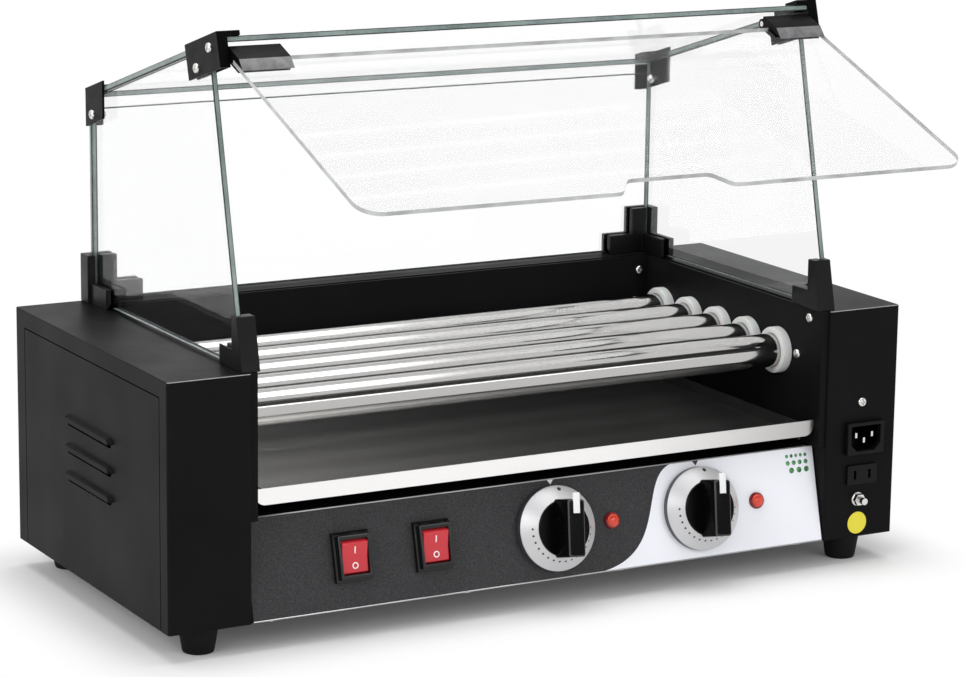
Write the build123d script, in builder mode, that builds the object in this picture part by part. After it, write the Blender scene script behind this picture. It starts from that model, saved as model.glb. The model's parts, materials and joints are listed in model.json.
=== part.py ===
from build123d import *
import math
import os

os.makedirs("parts", exist_ok=True)

# Driving dimensions of a table-top hot dog roller grill, in millimetres and degrees.
# Body places are measured back from the housings' front face, up from their lower edge
# and sideways from the middle of the machine.
body_width = 580.0
body_depth = 268.0
body_height = 171.0
sheet = 1.2
bend_radius = 2.0
top_edge_radius = 0.7

foot_height = 20.0
foot_top_diameter = 28.0
foot_bottom_diameter = 22.0
foot_inset_x = 30.5
foot_inset_y = 21.0

housing_width = 60.5
groove = 4.3
window_top = 12.0
window_front = 12.6
window_rear = 16.5
cover_lap = 7.0
cover_reveal = 1.0
louvre_length = 82.0
louvre_height = 10.0
louvre_depth = 3.0
louvre_taper = 30.0
louvre_offset = 1.45
louvre_first = 68.5
louvre_pitch = 20.0
louvre_count = 3

pan_flange = 12.0
pan_gap = 0.4
wall_front = 2.5
wall_gap = 1.0
wall_flange = 12.0
rear_duct = 26.0
rear_rim = 20.0
rear_rim_drop = 10.0

panel_tilt = 14.0
panel_foot_y = 0.5
panel_foot_z = 0.5
panel_length = 70.4
panel_flange_end = 16.0
film = 0.45
film_margin = 1.2
film_split_shares = ((0.1607, 0.0), (0.4554, 0.0568), (0.3393, 0.9375), (0.4911, 1.0))
control_offset = 0.3
switch_shares = (-0.6808, -0.404)
dial_shares = (0.0299, 0.5656)
lamp_shares = (0.2397, 0.7835)

switch_flange = (27.5, 34.4)
switch_step = (24.5, 30.6)
switch_flange_rise = 4.2
switch_rise = 9.2
switch_body = (22.6, 27.4)
switch_body_depth = 17.0
switch_floor = 2.0
cutout_gap = 0.2
rocker_width = 19.0
rocker_radius = 11.5
rocker_gap = 0.3
rocker_pivot_rise = 3.2
rocker_rise = 5.6
rocker_valley = 4.4
rocker_base = 3.0
rocker_tilt = 10.0
trunnion_diameter = 3.0
trunnion_length = 1.0
running_gap = 0.05

skirt_diameter = 60.0
skirt_gap = 0.8
skirt_height = 5.0
skirt_rise = 8.0
skirt_rim = 0.8
grip_diameter = 40.0
grip_height = 1.8
bar_width = 14.4
bar_length = 40.8
bar_corner_radius = 2.0
bar_height = 33.0
bar_taper = 2.0
bar_turn = -5.0
pointer_size = (5.0, 14.3)
pointer_offset = 17.6
pointer_depth = 1.2
pointer_rise = 0.6
spindle_diameter = 6.0
spindle_length = 14.0
thermostat_size = 36.0
thermostat_depth = 24.0
lamp_diameter = 12.0
lamp_rise = 4.0
lamp_dome = 2.4
lamp_body_diameter = 10.0
lamp_body_length = 16.0

inlet_place = (1.55, 75.0)
inlet_flange = (32.0, 24.0)
inlet_rise = 4.5
inlet_recess = (25.4, 18.6)
inlet_chamfer = 5.0
inlet_recess_depth = 16.0
inlet_body = (28.4, 21.6)
inlet_body_depth = 16.0
pin_spacing = 14.0
pin_offset = 4.0
pin_size = (2.0, 4.0)
pin_length = 13.5
outlet_place = (0.85, 47.3)
outlet_face = (26.0, 14.4)
outlet_rise = 2.4
outlet_body = (23.0, 12.4)
outlet_body_depth = 18.0
slot_spacing = 12.7
slot_size = (2.2, 6.6)
slot_depth = 15.0
stud_offset = (-1.75, 28.8)
stud_diameter = 5.0
stud_rise = 10.5
stud_tail = 6.0
washer_diameter = 10.0
washer_thickness = 1.0
nut_across_flats = 8.0
nut_height = 4.0
terminal_size = (34.0, 18.0, 14.0)
terminal_offset = (-1.75, 150.0)

screw_head_diameter = 7.0
screw_head_rise = 2.4
screw_shank_diameter = 3.6
screw_gap = 0.05
housing_screw_offset = (-0.75, 101.5)
wall_screw_places = ((17.5, 7.0), (32.0, 36.5))
rear_wall_screw_inset = (8.0, 11.0)
base_screw_shares = (0.2768, 0.9464)
base_screw_y = 9.0

roller_count = 5
roller_first_share = 0.2127
roller_pitch_share = 0.14925
roller_gap = 15.0
roller_wall_thickness = 1.0
roller_drop = 38.2
roller_left_reach = 28.5
roller_right_reach = 20.5
roller_hole_gap = 2.5
bush_collar_wall = 4.5
bush_collar = 7.0
bush_neck_wall = 2.0
bush_neck_tail = 2.0

heater_diameter = 9.5
heater_overhang = 10.0
bracket_sheet = 1.5
bracket_gap = 4.0
bracket_margin = 12.0
bracket_drop = 10.0
bracket_top_gap = 12.5
bracket_tab = 9.0

chain_pitch = 6.35
chain_roller_diameter = 3.3
chain_plate_height = 5.4
chain_plate = 0.9
chain_inner_width = 3.6
chain_inset = 13.5
sprocket_gap = 4.6
motor_teeth = 10
sprocket_thickness = 3.0
sprocket_hub_length = 5.0
sprocket_hub_wall = 2.5
sprocket_fit = 0.02
tooth_gap_radius = 2.1
tooth_tip_rise = 1.4
tooth_flare = 1.4
motor_height = 40.8
motor_height_step = 1e-9
motor_diameter = 58.0
motor_length = 33.0
motor_plate_gap = 6.5
motor_shaft_diameter = 8.0
motor_shaft_depth = 12.0
motor_boss_diameter = 16.0
motor_plate_size = (70.0, 36.0)

tray_lip_y = 8.0
tray_lip_height = 11.5
tray_lip_drop = 0.7
tray_lip_gap = 0.5
tray_lip_radius = 8.0
tray_clearance = 10.4
tray_sheet = 1.0
tray_side_gap = 9.0
tray_wall = 9.0
tray_rear_gap = 6.0
tray_gap = 0.2
runner_width = 16.0
runner_drop = 8.0
runner_front = 26.0

glass = 4.0
glass_gap = 0.1
glass_foot = 1.5
side_glass_inset = 0.2
side_glass_foot_y = 8.2
side_glass_lean = 13.0
rear_glass_inset = 8.5
rear_glass_drop = 7.0
roof_front_y = 42.0
roof_rise = 217.0
roof_slope = 16.5
roof_rear_gap = 3.1

front_bracket_inner = 8.2
front_bracket_outer = 1.6
front_bracket_wall = 5.0
front_bracket_height = 36.0
front_bracket_arm = 36.0
front_bracket_arm_height = 13.5
front_bracket_column = 8.5
rear_bracket_height = 35.0
rear_bracket_arm_height = 15.0
rear_bracket_column_reach = (12.7, 10.3)
rear_bracket_column_y = 14.0
rear_bracket_reach = 32.7
rear_bracket_arm = 42.0
rear_bracket_wall = 4.0

clip_plate = 1.8
clip_top = 3.4
clip_length = 51.0
clip_drop = 20.8
clip_front = 1.8
clip_tab_width = 17.0
clip_tab_length = 13.0
clip_screws = ((10.6, -5.4), (34.4, -15.0))
rear_clip_length = 31.0
rear_clip_drop = 19.5
rear_clip_width = 13.0
rear_clip_screw_place = (14.0, 6.0)
clip_nut_diameter = 7.0
clip_nut_rise = 3.5

door_pivot_drop = 12.0
door_angle = 20.9
door_thickness = 3.0
door_start = 9.0
door_length = 210.0
door_gap = 0.4
door_corner_radius = 16.0
door_top_radius = 2.0
notch_inner = 31.0
notch_outer = 42.0
notch_depth = 15.0
notch_radius = 7.0
hinge_pin_diameter = 4.0
hinge_barrel_diameter = 7.2
hinge_clip_width = 37.5
hinge_clip_face = 18.0
hinge_clip_length = 26.0
hinge_clip_rise = 6.0
hinge_clip_plate = 1.8
hinge_clip_under = 20.0

# Places worked out from the driving dimensions.
tilt = math.radians(panel_tilt)
lean = math.radians(side_glass_lean)
slope = math.radians(roof_slope)
door_fall = math.radians(door_angle)
half_width = body_width / 2
housing_inner = half_width - housing_width
wall_outer = housing_inner - groove
bay_half = wall_outer - sheet
cover_face = half_width - sheet
housing_middle = half_width - housing_width / 2
pan_half = cover_face - sheet
pan_front = panel_foot_y + sheet / math.cos(tilt) + sheet * math.tan(tilt) + pan_gap
panel_top_y = panel_foot_y + panel_length * math.sin(tilt)
panel_top_z = panel_foot_z + panel_length * math.cos(tilt)
control_height = panel_length / 2 + control_offset
switch_x = [bay_half * share for share in switch_shares]
dial_x = [bay_half * share for share in dial_shares]
lamp_x = [bay_half * share for share in lamp_shares]
base_screw_x = [bay_half * share for share in base_screw_shares]
film_split = [(bay_half * across, panel_length * up) for across, up in film_split_shares]
inlet_centre = (housing_middle + inlet_place[0], inlet_place[1])
outlet_centre = (housing_middle + outlet_place[0], outlet_place[1])
stud_place = (housing_middle + stud_offset[0], stud_offset[1])
terminal_place = (housing_middle + terminal_offset[0], terminal_offset[1])
housing_screw = (housing_middle + housing_screw_offset[0], housing_screw_offset[1])
wall_screws = [(y, body_height - drop) for y, drop in wall_screw_places]
rear_wall_screw = (bay_half - rear_wall_screw_inset[0], body_height - rear_wall_screw_inset[1])
rear_wall_y = body_depth - rear_duct
roller_pitch = body_depth * roller_pitch_share
roller_first_y = body_depth * roller_first_share
roller_ys = [roller_first_y + roller_pitch * k for k in range(roller_count)]
roller_diameter = roller_pitch - roller_gap
roller_radius = roller_diameter / 2
roller_z = body_height - roller_drop
roller_left = housing_inner + roller_left_reach
roller_right = housing_inner + roller_right_reach
bush_diameter = roller_diameter + 2 * bush_collar_wall
bush_neck_diameter = roller_diameter + 2 * bush_neck_wall
bracket_top = body_height - bracket_top_gap
chain_x = housing_inner + chain_inset
tray_floor_z = panel_top_z + tray_clearance
tray_half_width = bay_half - tray_side_gap
side_glass_inner = housing_inner + side_glass_inset
side_glass_outer = side_glass_inner + glass
rear_glass_y = body_depth - rear_glass_inset
side_glass_rear_y = rear_glass_y - glass_gap
glass_foot_z = body_height + glass_foot
roof_front_z = body_height + roof_rise
roof_length = (body_depth - roof_rear_gap - roof_front_y) / math.cos(slope)
rear_clip_back = rear_glass_y + glass + clip_plate
rear_clip_front = rear_clip_back - rear_clip_length
rear_bracket_column_x = (
    side_glass_inner - rear_bracket_column_reach[0],
    side_glass_inner + rear_bracket_column_reach[1],
)
rear_bracket_arm_x = side_glass_inner - rear_bracket_reach
rear_bracket_arm_y = body_depth - rear_bracket_arm
door_pivot = (roof_front_y, roof_front_z - door_pivot_drop)
door_half = side_glass_inner - clip_plate - door_gap

# The front face of the housings is set so that the whole machine, with its door open,
# is centred front to back.
door_tip_y = (
    door_pivot[0]
    - door_length * math.cos(door_fall)
    - door_thickness / 2 * math.sin(door_fall)
)
front_y = -(body_depth + door_tip_y) / 2
ends = ((-1, "left"), (1, "right"))


def side_plane(x):
    """An upright plane across the machine: local x runs back and local y runs up."""
    return Plane(origin=(x, front_y, foot_height), x_dir=(0, 1, 0), z_dir=(1, 0, 0))


def front_plane(y):
    """An upright plane facing the front: local x runs right and local y runs up."""
    return Plane(origin=(0, front_y + y, foot_height), x_dir=(1, 0, 0), z_dir=(0, -1, 0))


def level_plane(z):
    """A level plane: local x runs right and local y runs back."""
    return Plane(origin=(0, front_y, foot_height + z), x_dir=(1, 0, 0), z_dir=(0, 0, 1))


def panel_plane(rise):
    """The control panel's outer face, lifted by a rise: local y runs up the slope."""
    normal = Vector(0, -math.cos(tilt), math.sin(tilt))
    foot = Vector(0, front_y + panel_foot_y, foot_height + panel_foot_z)
    return Plane(origin=foot + normal * rise, x_dir=(1, 0, 0), z_dir=normal)


def roof_plane(x):
    """Side view of the roof glass: local x runs down the slope, local y out of its top."""
    origin = (x, front_y + roof_front_y, foot_height + roof_front_z)
    return Plane(origin=origin, x_dir=(0, math.cos(slope), -math.sin(slope)), z_dir=(1, 0, 0))


def door_direction():
    return Vector(0, -math.cos(door_fall), -math.sin(door_fall))


def door_pivot_point(x):
    return Vector(x, front_y + door_pivot[0], foot_height + door_pivot[1])


def door_side_plane(x):
    """Side view of the door: local x runs from the pivot to the tip, local y out of its top."""
    return Plane(origin=door_pivot_point(x), x_dir=door_direction(), z_dir=(-1, 0, 0))


def span(side, near, far):
    """The range from near to far on the left (-1) or right (1), lowest first."""
    return tuple(sorted((side * near, side * far)))


def block(x, y, z, mode=Mode.ADD):
    """A block between two corners, each direction given as (low, high)."""
    middle = (sum(x) / 2, front_y + sum(y) / 2, foot_height + sum(z) / 2)
    with Locations(middle):
        Box(x[1] - x[0], y[1] - y[0], z[1] - z[0], mode=mode)


def keep(piece, name):
    """Name a finished piece and write it."""
    piece.part.label = name
    export_step(piece.part, f"parts/{name}.step")


# Base pan: folded steel floor with a flange at each end, behind the side covers.
with BuildPart() as base_pan:
    block((-pan_half, pan_half), (pan_front, body_depth - sheet), (0, sheet))
    for side, end in ends:
        block(span(side, pan_half - sheet, pan_half), (pan_front, body_depth - sheet), (0, pan_flange))
    with BuildSketch(level_plane(0)):
        with Locations([(side * x, base_screw_y) for x in base_screw_x for side, end in ends]):
            Circle(screw_shank_diameter / 2 + screw_gap)
    extrude(amount=sheet, mode=Mode.SUBTRACT)
keep(base_pan, "base_pan")

# Feet: four tapered rubber feet under the base pan.
with BuildPart() as feet:
    foot_x = half_width - foot_inset_x
    foot_rows = (foot_inset_y, body_depth - foot_inset_y)
    foot_places = [(side * foot_x, front_y + y, foot_height / 2) for side, end in ends for y in foot_rows]
    with Locations(foot_places):
        Cone(foot_bottom_diameter / 2, foot_top_diameter / 2, foot_height)
keep(feet, "feet")

# End housings: folded steel boxes, open below, with a window for the side cover and
# clearance holes for the roller tubes. The right one also carries the mains fittings.
for side, end in ends:
    with BuildPart() as end_housing:
        block(span(side, housing_inner, half_width), (0, body_depth), (0, body_height))
        upright = end_housing.edges().filter_by(Axis.Z)
        fillet(upright, bend_radius)
        fillet(end_housing.faces().sort_by(Axis.Z)[-1].edges(), top_edge_radius)
        block(
            span(side, housing_inner + sheet, cover_face),
            (sheet, body_depth - sheet),
            (0, body_height - sheet),
            Mode.SUBTRACT,
        )
        block(
            span(side, cover_face, half_width),
            (window_front, body_depth - window_rear),
            (0, body_height - window_top),
            Mode.SUBTRACT,
        )
        block(
            span(side, housing_inner, cover_face),
            (pan_front, body_depth - sheet),
            (0, sheet),
            Mode.SUBTRACT,
        )
        with BuildSketch(side_plane(side * housing_inner)):
            with Locations([(y, roller_z) for y in roller_ys]):
                Circle(roller_radius + roller_hole_gap)
        extrude(amount=side * sheet, mode=Mode.SUBTRACT)
        if side > 0:
            with BuildSketch(front_plane(0)):
                with Locations(inlet_centre):
                    Rectangle(inlet_body[0] + 2 * cutout_gap, inlet_body[1] + 2 * cutout_gap)
                with Locations(outlet_centre):
                    Rectangle(outlet_body[0] + 2 * cutout_gap, outlet_body[1] + 2 * cutout_gap)
                with Locations(stud_place):
                    Circle(stud_diameter / 2 + screw_gap)
                with Locations(housing_screw):
                    Circle(screw_shank_diameter / 2 + screw_gap)
            extrude(amount=-sheet, mode=Mode.SUBTRACT)
    keep(end_housing, f"{end}_end_housing")

# Side covers: sheets behind the housing windows, each with a field pressed out flush with the
# housing, a reveal around it and louvres open below.
for side, end in ends:
    with BuildPart() as side_cover:
        block(
            span(side, cover_face - sheet, cover_face),
            (window_front - cover_lap, body_depth - window_rear + cover_lap),
            (0, body_height - window_top + cover_lap),
        )
        field_front = window_front + cover_reveal
        field_rear = body_depth - window_rear - cover_reveal
        field_top = body_height - window_top - cover_reveal
        block(span(side, cover_face, half_width), (field_front, field_rear), (0, field_top))
        block(
            span(side, cover_face - sheet, cover_face),
            (field_front + sheet, field_rear - sheet),
            (0, field_top - sheet),
            Mode.SUBTRACT,
        )
        louvre_middle = (window_front + body_depth - window_rear) / 2 + louvre_offset
        louvre_start = louvre_middle - louvre_length / 2
        louvre_places = [(louvre_middle, louvre_first + louvre_pitch * k) for k in range(louvre_count)]
        with BuildSketch(side_plane(side * half_width)):
            with Locations(louvre_places):
                SlotOverall(louvre_length, louvre_height)
        extrude(amount=side * louvre_depth, taper=louvre_taper)
        with BuildSketch(side_plane(side * cover_face)):
            with Locations(louvre_places):
                SlotOverall(louvre_length - 2 * sheet, louvre_height - 2 * sheet)
        extrude(amount=side * louvre_depth, taper=louvre_taper, mode=Mode.SUBTRACT)
        for place in louvre_places:
            block(
                span(side, half_width, half_width + louvre_depth),
                (louvre_start, louvre_start + louvre_length),
                (place[1] - louvre_height / 2, place[1]),
                Mode.SUBTRACT,
            )
    keep(side_cover, f"{end}_side_cover")

# Roller walls: upright sheets that carry the rollers. A front flange closes the groove beside
# the housing, a lower flange stands on the base pan, and the front is notched for the panel.
wall_notch_y = panel_top_y + 2 * sheet + wall_gap
wall_notch_z = panel_top_z + wall_gap
for side, end in ends:
    with BuildPart() as roller_wall:
        with BuildSketch(side_plane(side * bay_half)):
            with BuildLine():
                Polyline(
                    (rear_wall_y, sheet),
                    (wall_notch_y, sheet),
                    (wall_notch_y, wall_notch_z),
                    (wall_front, wall_notch_z),
                    (wall_front, body_height),
                    (rear_wall_y, body_height),
                    close=True,
                )
            make_face()
            with Locations([(y, roller_z) for y in roller_ys]):
                Circle(bush_neck_diameter / 2 + screw_gap, mode=Mode.SUBTRACT)
            with Locations(wall_screws):
                Circle(screw_shank_diameter / 2 + screw_gap, mode=Mode.SUBTRACT)
        extrude(amount=side * sheet)
        block(
            span(side, wall_outer, housing_inner),
            (wall_front, wall_front + sheet),
            (wall_notch_z, body_height),
        )
        block(
            span(side, bay_half - wall_flange, bay_half),
            (wall_notch_y, rear_wall_y),
            (sheet, 2 * sheet),
        )
    keep(roller_wall, f"{end}_roller_wall")

# Rear inner wall: closes the roller bay behind, with a lower flange on the base pan.
with BuildPart() as rear_inner_wall:
    block((-bay_half, bay_half), (rear_wall_y, rear_wall_y + sheet), (sheet, body_height))
    flange_half = bay_half - wall_flange - wall_gap
    block((-flange_half, flange_half), (rear_wall_y - wall_flange, rear_wall_y), (sheet, 2 * sheet))
    with BuildSketch(front_plane(rear_wall_y)):
        with Locations(rear_wall_screw):
            Circle(screw_shank_diameter / 2 + screw_gap)
    extrude(amount=-sheet, mode=Mode.SUBTRACT)
keep(rear_inner_wall, "rear_inner_wall")

# Rear panel: outer back sheet whose rim folds forward over the top and down again.
with BuildPart() as rear_panel:
    rim_y = body_depth - rear_rim
    rear_span = (-housing_inner, housing_inner)
    block(rear_span, (body_depth - sheet, body_depth), (0, body_height))
    block(rear_span, (rim_y, body_depth), (body_height - sheet, body_height))
    block(rear_span, (rim_y, rim_y + sheet), (body_height - rear_rim_drop, body_height))
keep(rear_panel, "rear_panel")

# Control panel: one bent sheet with a sloping front, a lower flange on the base pan and a
# shelf that runs back under the drip tray.
with BuildPart() as control_panel:
    back_y = sheet * math.cos(tilt)
    back_z = sheet * math.sin(tilt)
    with BuildSketch(side_plane(-housing_inner)):
        with BuildLine():
            Polyline(
                (panel_foot_y, panel_foot_z),
                (panel_top_y, panel_top_z),
                (panel_top_y + back_y, panel_top_z - back_z),
                (panel_foot_y + back_y, panel_foot_z - back_z),
                close=True,
            )
        make_face()
    extrude(amount=2 * housing_inner)
    block((-bay_half, bay_half), (panel_top_y, rear_wall_y), (panel_top_z - sheet, panel_top_z))
    block((-bay_half, bay_half), (panel_foot_y + sheet, panel_flange_end), (sheet, 2 * sheet))
    with BuildSketch(panel_plane(0)):
        with Locations([(x, control_height) for x in switch_x]):
            Rectangle(switch_body[0] + 2 * cutout_gap, switch_body[1] + 2 * cutout_gap)
        with Locations([(x, control_height) for x in dial_x]):
            Circle(spindle_diameter / 2 + cutout_gap)
        with Locations([(x, control_height) for x in lamp_x]):
            Circle(lamp_body_diameter / 2 + cutout_gap)
    extrude(amount=-2 * sheet, mode=Mode.SUBTRACT)
    with BuildSketch(level_plane(sheet)):
        with Locations([(side * x, base_screw_y) for x in base_screw_x for side, end in ends]):
            Circle(screw_shank_diameter / 2 + screw_gap)
    extrude(amount=sheet, mode=Mode.SUBTRACT)
keep(control_panel, "control_panel")

# Overlay films: a dark one on the left and a light one on the right, meeting in a wave.
film_half = housing_inner - film_margin
for name, outer_x in (("dark_overlay", -film_half), ("light_overlay", film_half)):
    with BuildPart() as overlay:
        with BuildSketch(panel_plane(0)):
            with BuildLine():
                Bezier(*film_split)
                Polyline(film_split[-1], (outer_x, panel_length), (outer_x, 0), film_split[0])
            make_face()
            with Locations([(x, control_height) for x in switch_x]):
                Rectangle(
                    switch_body[0] + 2 * cutout_gap,
                    switch_body[1] + 2 * cutout_gap,
                    mode=Mode.SUBTRACT,
                )
            with Locations([(x, control_height) for x in dial_x]):
                Circle(spindle_diameter / 2 + cutout_gap, mode=Mode.SUBTRACT)
            with Locations([(x, control_height) for x in lamp_x]):
                Circle(lamp_body_diameter / 2 + cutout_gap, mode=Mode.SUBTRACT)
        extrude(amount=film)
    keep(overlay, name)

# Tray runners: two angle rails on the roller walls, under the drip tray.
with BuildPart() as tray_runners:
    runner_top = tray_floor_z - tray_gap
    for side, end in ends:
        block(
            span(side, bay_half - runner_width, bay_half),
            (runner_front, rear_wall_y),
            (runner_top - sheet, runner_top),
        )
        block(
            span(side, bay_half - sheet, bay_half),
            (runner_front, rear_wall_y),
            (runner_top - runner_drop, runner_top),
        )
keep(tray_runners, "tray_runners")

# Drip tray: shallow stainless pan that slides out to the front by its tall lip.
with BuildPart() as drip_tray:
    tray_front = tray_lip_y + tray_sheet
    tray_rear = rear_wall_y - tray_rear_gap
    block(
        (-tray_half_width, tray_half_width),
        (tray_front, tray_rear),
        (tray_floor_z, tray_floor_z + tray_wall),
    )
    block(
        (-tray_half_width + tray_sheet, tray_half_width - tray_sheet),
        (tray_front, tray_rear - tray_sheet),
        (tray_floor_z + tray_sheet, tray_floor_z + tray_wall),
        Mode.SUBTRACT,
    )
    lip_half = bay_half - tray_lip_gap
    lip_low = tray_floor_z - tray_lip_drop
    with BuildSketch(front_plane(tray_front)) as lip_sketch:
        with Locations((0, lip_low + tray_lip_height / 2)):
            Rectangle(2 * lip_half, tray_lip_height)
        fillet(lip_sketch.vertices().group_by(Axis.Y)[0], tray_lip_radius)
    extrude(amount=tray_sheet)
keep(drip_tray, "drip_tray")

# Roller bushes: flanged PTFE rings, one in each roller hole of both walls.
for side, end in ends:
    with BuildPart() as roller_bushes:
        with BuildSketch(side_plane(side * bay_half)):
            with Locations([(y, roller_z) for y in roller_ys]):
                Circle(bush_diameter / 2)
        extrude(amount=-side * bush_collar)
        with BuildSketch(side_plane(side * bay_half)):
            with Locations([(y, roller_z) for y in roller_ys]):
                Circle(bush_neck_diameter / 2)
        extrude(amount=side * (sheet + bush_neck_tail))
        with BuildSketch(side_plane(side * (bay_half - bush_collar))):
            with Locations([(y, roller_z) for y in roller_ys]):
                Circle(roller_radius + running_gap)
        extrude(amount=side * (bush_collar + sheet + bush_neck_tail), mode=Mode.SUBTRACT)
    keep(roller_bushes, f"{end}_roller_bushes")

# Chain drive: the motor sprocket hangs under the middle of the roller row, at the depth
# where the loop over the first, last and motor sprockets takes a whole number of links.
largest_sprocket = (roller_pitch - sprocket_gap) / 2 - tooth_tip_rise
sprocket_teeth = math.floor(math.pi / math.asin(chain_pitch / 2 / largest_sprocket))
sprocket_radius = chain_pitch / 2 / math.sin(math.pi / sprocket_teeth)
motor_radius = chain_pitch / 2 / math.sin(math.pi / motor_teeth)
half_row = roller_pitch * (roller_count - 1) / 2
motor_y = roller_first_y + half_row


def loop_angle(drop):
    """How far the chain wraps each half of the motor sprocket, for a motor this far below."""
    distance = math.hypot(half_row, drop)
    return math.atan2(drop, half_row) + math.asin((sprocket_radius - motor_radius) / distance)


def loop_length(drop):
    """Length of the chain's pitch line for a motor this far below the rollers."""
    wrap = loop_angle(drop)
    straight = math.sqrt(half_row**2 + drop**2 - (sprocket_radius - motor_radius) ** 2)
    return 2 * (half_row + sprocket_radius * (math.pi - wrap) + straight + motor_radius * wrap)


chain_links = 2 * round(loop_length(roller_z - motor_height) / chain_pitch / 2)
motor_drop_low = 0.0
motor_drop_high = chain_links * chain_pitch
while motor_drop_high - motor_drop_low > motor_height_step:
    motor_drop = (motor_drop_low + motor_drop_high) / 2
    if loop_length(motor_drop) < chain_links * chain_pitch:
        motor_drop_low = motor_drop
    else:
        motor_drop_high = motor_drop
motor_z = roller_z - motor_drop
loop_wheels = (
    (roller_ys[0], roller_z, sprocket_radius),
    (roller_ys[-1], roller_z, sprocket_radius),
    (motor_y, motor_z, motor_radius),
)


def chain_point(distance):
    """The point of the pitch line this far from the top of the first sprocket, going back."""
    wrap = loop_angle(motor_drop)
    straight = math.sqrt(half_row**2 + motor_drop**2 - (sprocket_radius - motor_radius) ** 2)
    half_loop = chain_links * chain_pitch / 2
    along = distance - half_row
    mirrored = 1
    if along > half_loop:
        along = 2 * half_loop - along
        mirrored = -1
    if along < 0:
        along = -along
        mirrored = -1
    arc = sprocket_radius * (math.pi - wrap)
    if along < half_row:
        y, z = along, roller_z + sprocket_radius
    elif along < half_row + arc:
        turn = math.pi / 2 - (along - half_row) / sprocket_radius
        y = half_row + sprocket_radius * math.cos(turn)
        z = roller_z + sprocket_radius * math.sin(turn)
    elif along < half_row + arc + straight:
        leave = wrap - math.pi / 2
        part_way = (along - half_row - arc) / straight
        y_from = half_row + sprocket_radius * math.cos(leave)
        z_from = roller_z + sprocket_radius * math.sin(leave)
        y = y_from + part_way * (motor_radius * math.cos(leave) - y_from)
        z = z_from + part_way * (motor_z + motor_radius * math.sin(leave) - z_from)
    else:
        turn = wrap - math.pi / 2 - (along - half_row - arc - straight) / motor_radius
        y = motor_radius * math.cos(turn)
        z = motor_z + motor_radius * math.sin(turn)
    return motor_y + mirrored * y, z


def chain_loop(margin):
    """The flat area inside the chain's pitch line, grown by a margin."""
    with BuildSketch() as loop:
        for y, z, radius in loop_wheels:
            with Locations((y, z)):
                Circle(radius + margin)
        make_hull()
    return loop.sketch


def toothed_face(centre, teeth, pitch_radius, first_gap):
    """A sprocket's outline on the chain line, with its first tooth gap at an angle in degrees."""
    with BuildSketch(side_plane(-chain_x - sprocket_thickness / 2)) as outline:
        with Locations(centre):
            Circle(pitch_radius + tooth_tip_rise)
            with PolarLocations(pitch_radius, teeth, start_angle=first_gap):
                Circle(tooth_gap_radius, mode=Mode.SUBTRACT)
                Polygon(
                    (0, -tooth_gap_radius),
                    (2 * tooth_tip_rise, -tooth_gap_radius - tooth_flare),
                    (2 * tooth_tip_rise, tooth_gap_radius + tooth_flare),
                    (0, tooth_gap_radius),
                    align=None,
                    mode=Mode.SUBTRACT,
                )
    return outline.sketch


# Drive chain: side plates as two bands round the loop, joined by a roller at every link.
with BuildPart() as drive_chain:
    chain_outer = chain_inner_width / 2 + chain_plate
    for start in (-chain_x - chain_outer, -chain_x + chain_inner_width / 2):
        with BuildSketch(side_plane(start)):
            add(chain_loop(chain_plate_height / 2))
            add(chain_loop(-chain_plate_height / 2), mode=Mode.SUBTRACT)
        extrude(amount=chain_plate)
    with BuildSketch(side_plane(-chain_x - chain_inner_width / 2)):
        with Locations([chain_point(chain_pitch * k) for k in range(chain_links)]):
            Circle(chain_roller_diameter / 2)
    extrude(amount=chain_inner_width)
keep(drive_chain, "drive_chain")

# Rollers: five steel tubes, each with a sprocket on its left end. Every sprocket's first
# tooth gap is turned to meet the chain rollers on the top run.
for number, y in enumerate(roller_ys, 1):
    with BuildPart() as roller_tube:
        with BuildSketch(side_plane(-roller_left)):
            with Locations((y, roller_z)):
                Circle(roller_radius)
                Circle(roller_radius - roller_wall_thickness, mode=Mode.SUBTRACT)
        extrude(amount=roller_left + roller_right)
    keep(roller_tube, f"roller_tube_{number}")

    with BuildPart() as roller_sprocket:
        links_before = math.ceil((y - roller_ys[0]) / chain_pitch)
        lead = links_before * chain_pitch - (y - roller_ys[0])
        first_gap = 90 - math.degrees(lead / sprocket_radius)
        outline = toothed_face((y, roller_z), sprocket_teeth, sprocket_radius, first_gap)
        extrude(outline, amount=sprocket_thickness)
        hub_radius = roller_radius + sprocket_hub_wall
        with BuildSketch(side_plane(-chain_x + sprocket_thickness / 2)):
            with Locations((y, roller_z)):
                Circle(min(hub_radius, sprocket_radius - chain_plate_height / 2 - running_gap))
        extrude(amount=sprocket_hub_length)
        with BuildSketch(side_plane(-chain_x - sprocket_thickness / 2)):
            with Locations((y, roller_z)):
                Circle(roller_radius + sprocket_fit)
        extrude(amount=sprocket_thickness + sprocket_hub_length, mode=Mode.SUBTRACT)
    keep(roller_sprocket, f"roller_sprocket_{number}")

# Motor sprocket: small sprocket on the gear motor's output shaft.
motor_plate_x = -chain_x - motor_plate_gap
with BuildPart() as motor_sprocket:
    lowest = chain_links * chain_pitch / 2 + half_row
    lead = math.ceil(lowest / chain_pitch) * chain_pitch - lowest
    first_gap = -90 - math.degrees(lead / motor_radius)
    outline = toothed_face((motor_y, motor_z), motor_teeth, motor_radius, first_gap)
    extrude(outline, amount=sprocket_thickness)
    with BuildSketch(side_plane(motor_plate_x - bracket_sheet - motor_shaft_depth)):
        with Locations((motor_y, motor_z)):
            Circle(motor_shaft_diameter / 2)
    extrude(amount=motor_plate_gap + bracket_sheet + motor_shaft_depth + sprocket_hub_length)
keep(motor_sprocket, "motor_sprocket")

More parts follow.
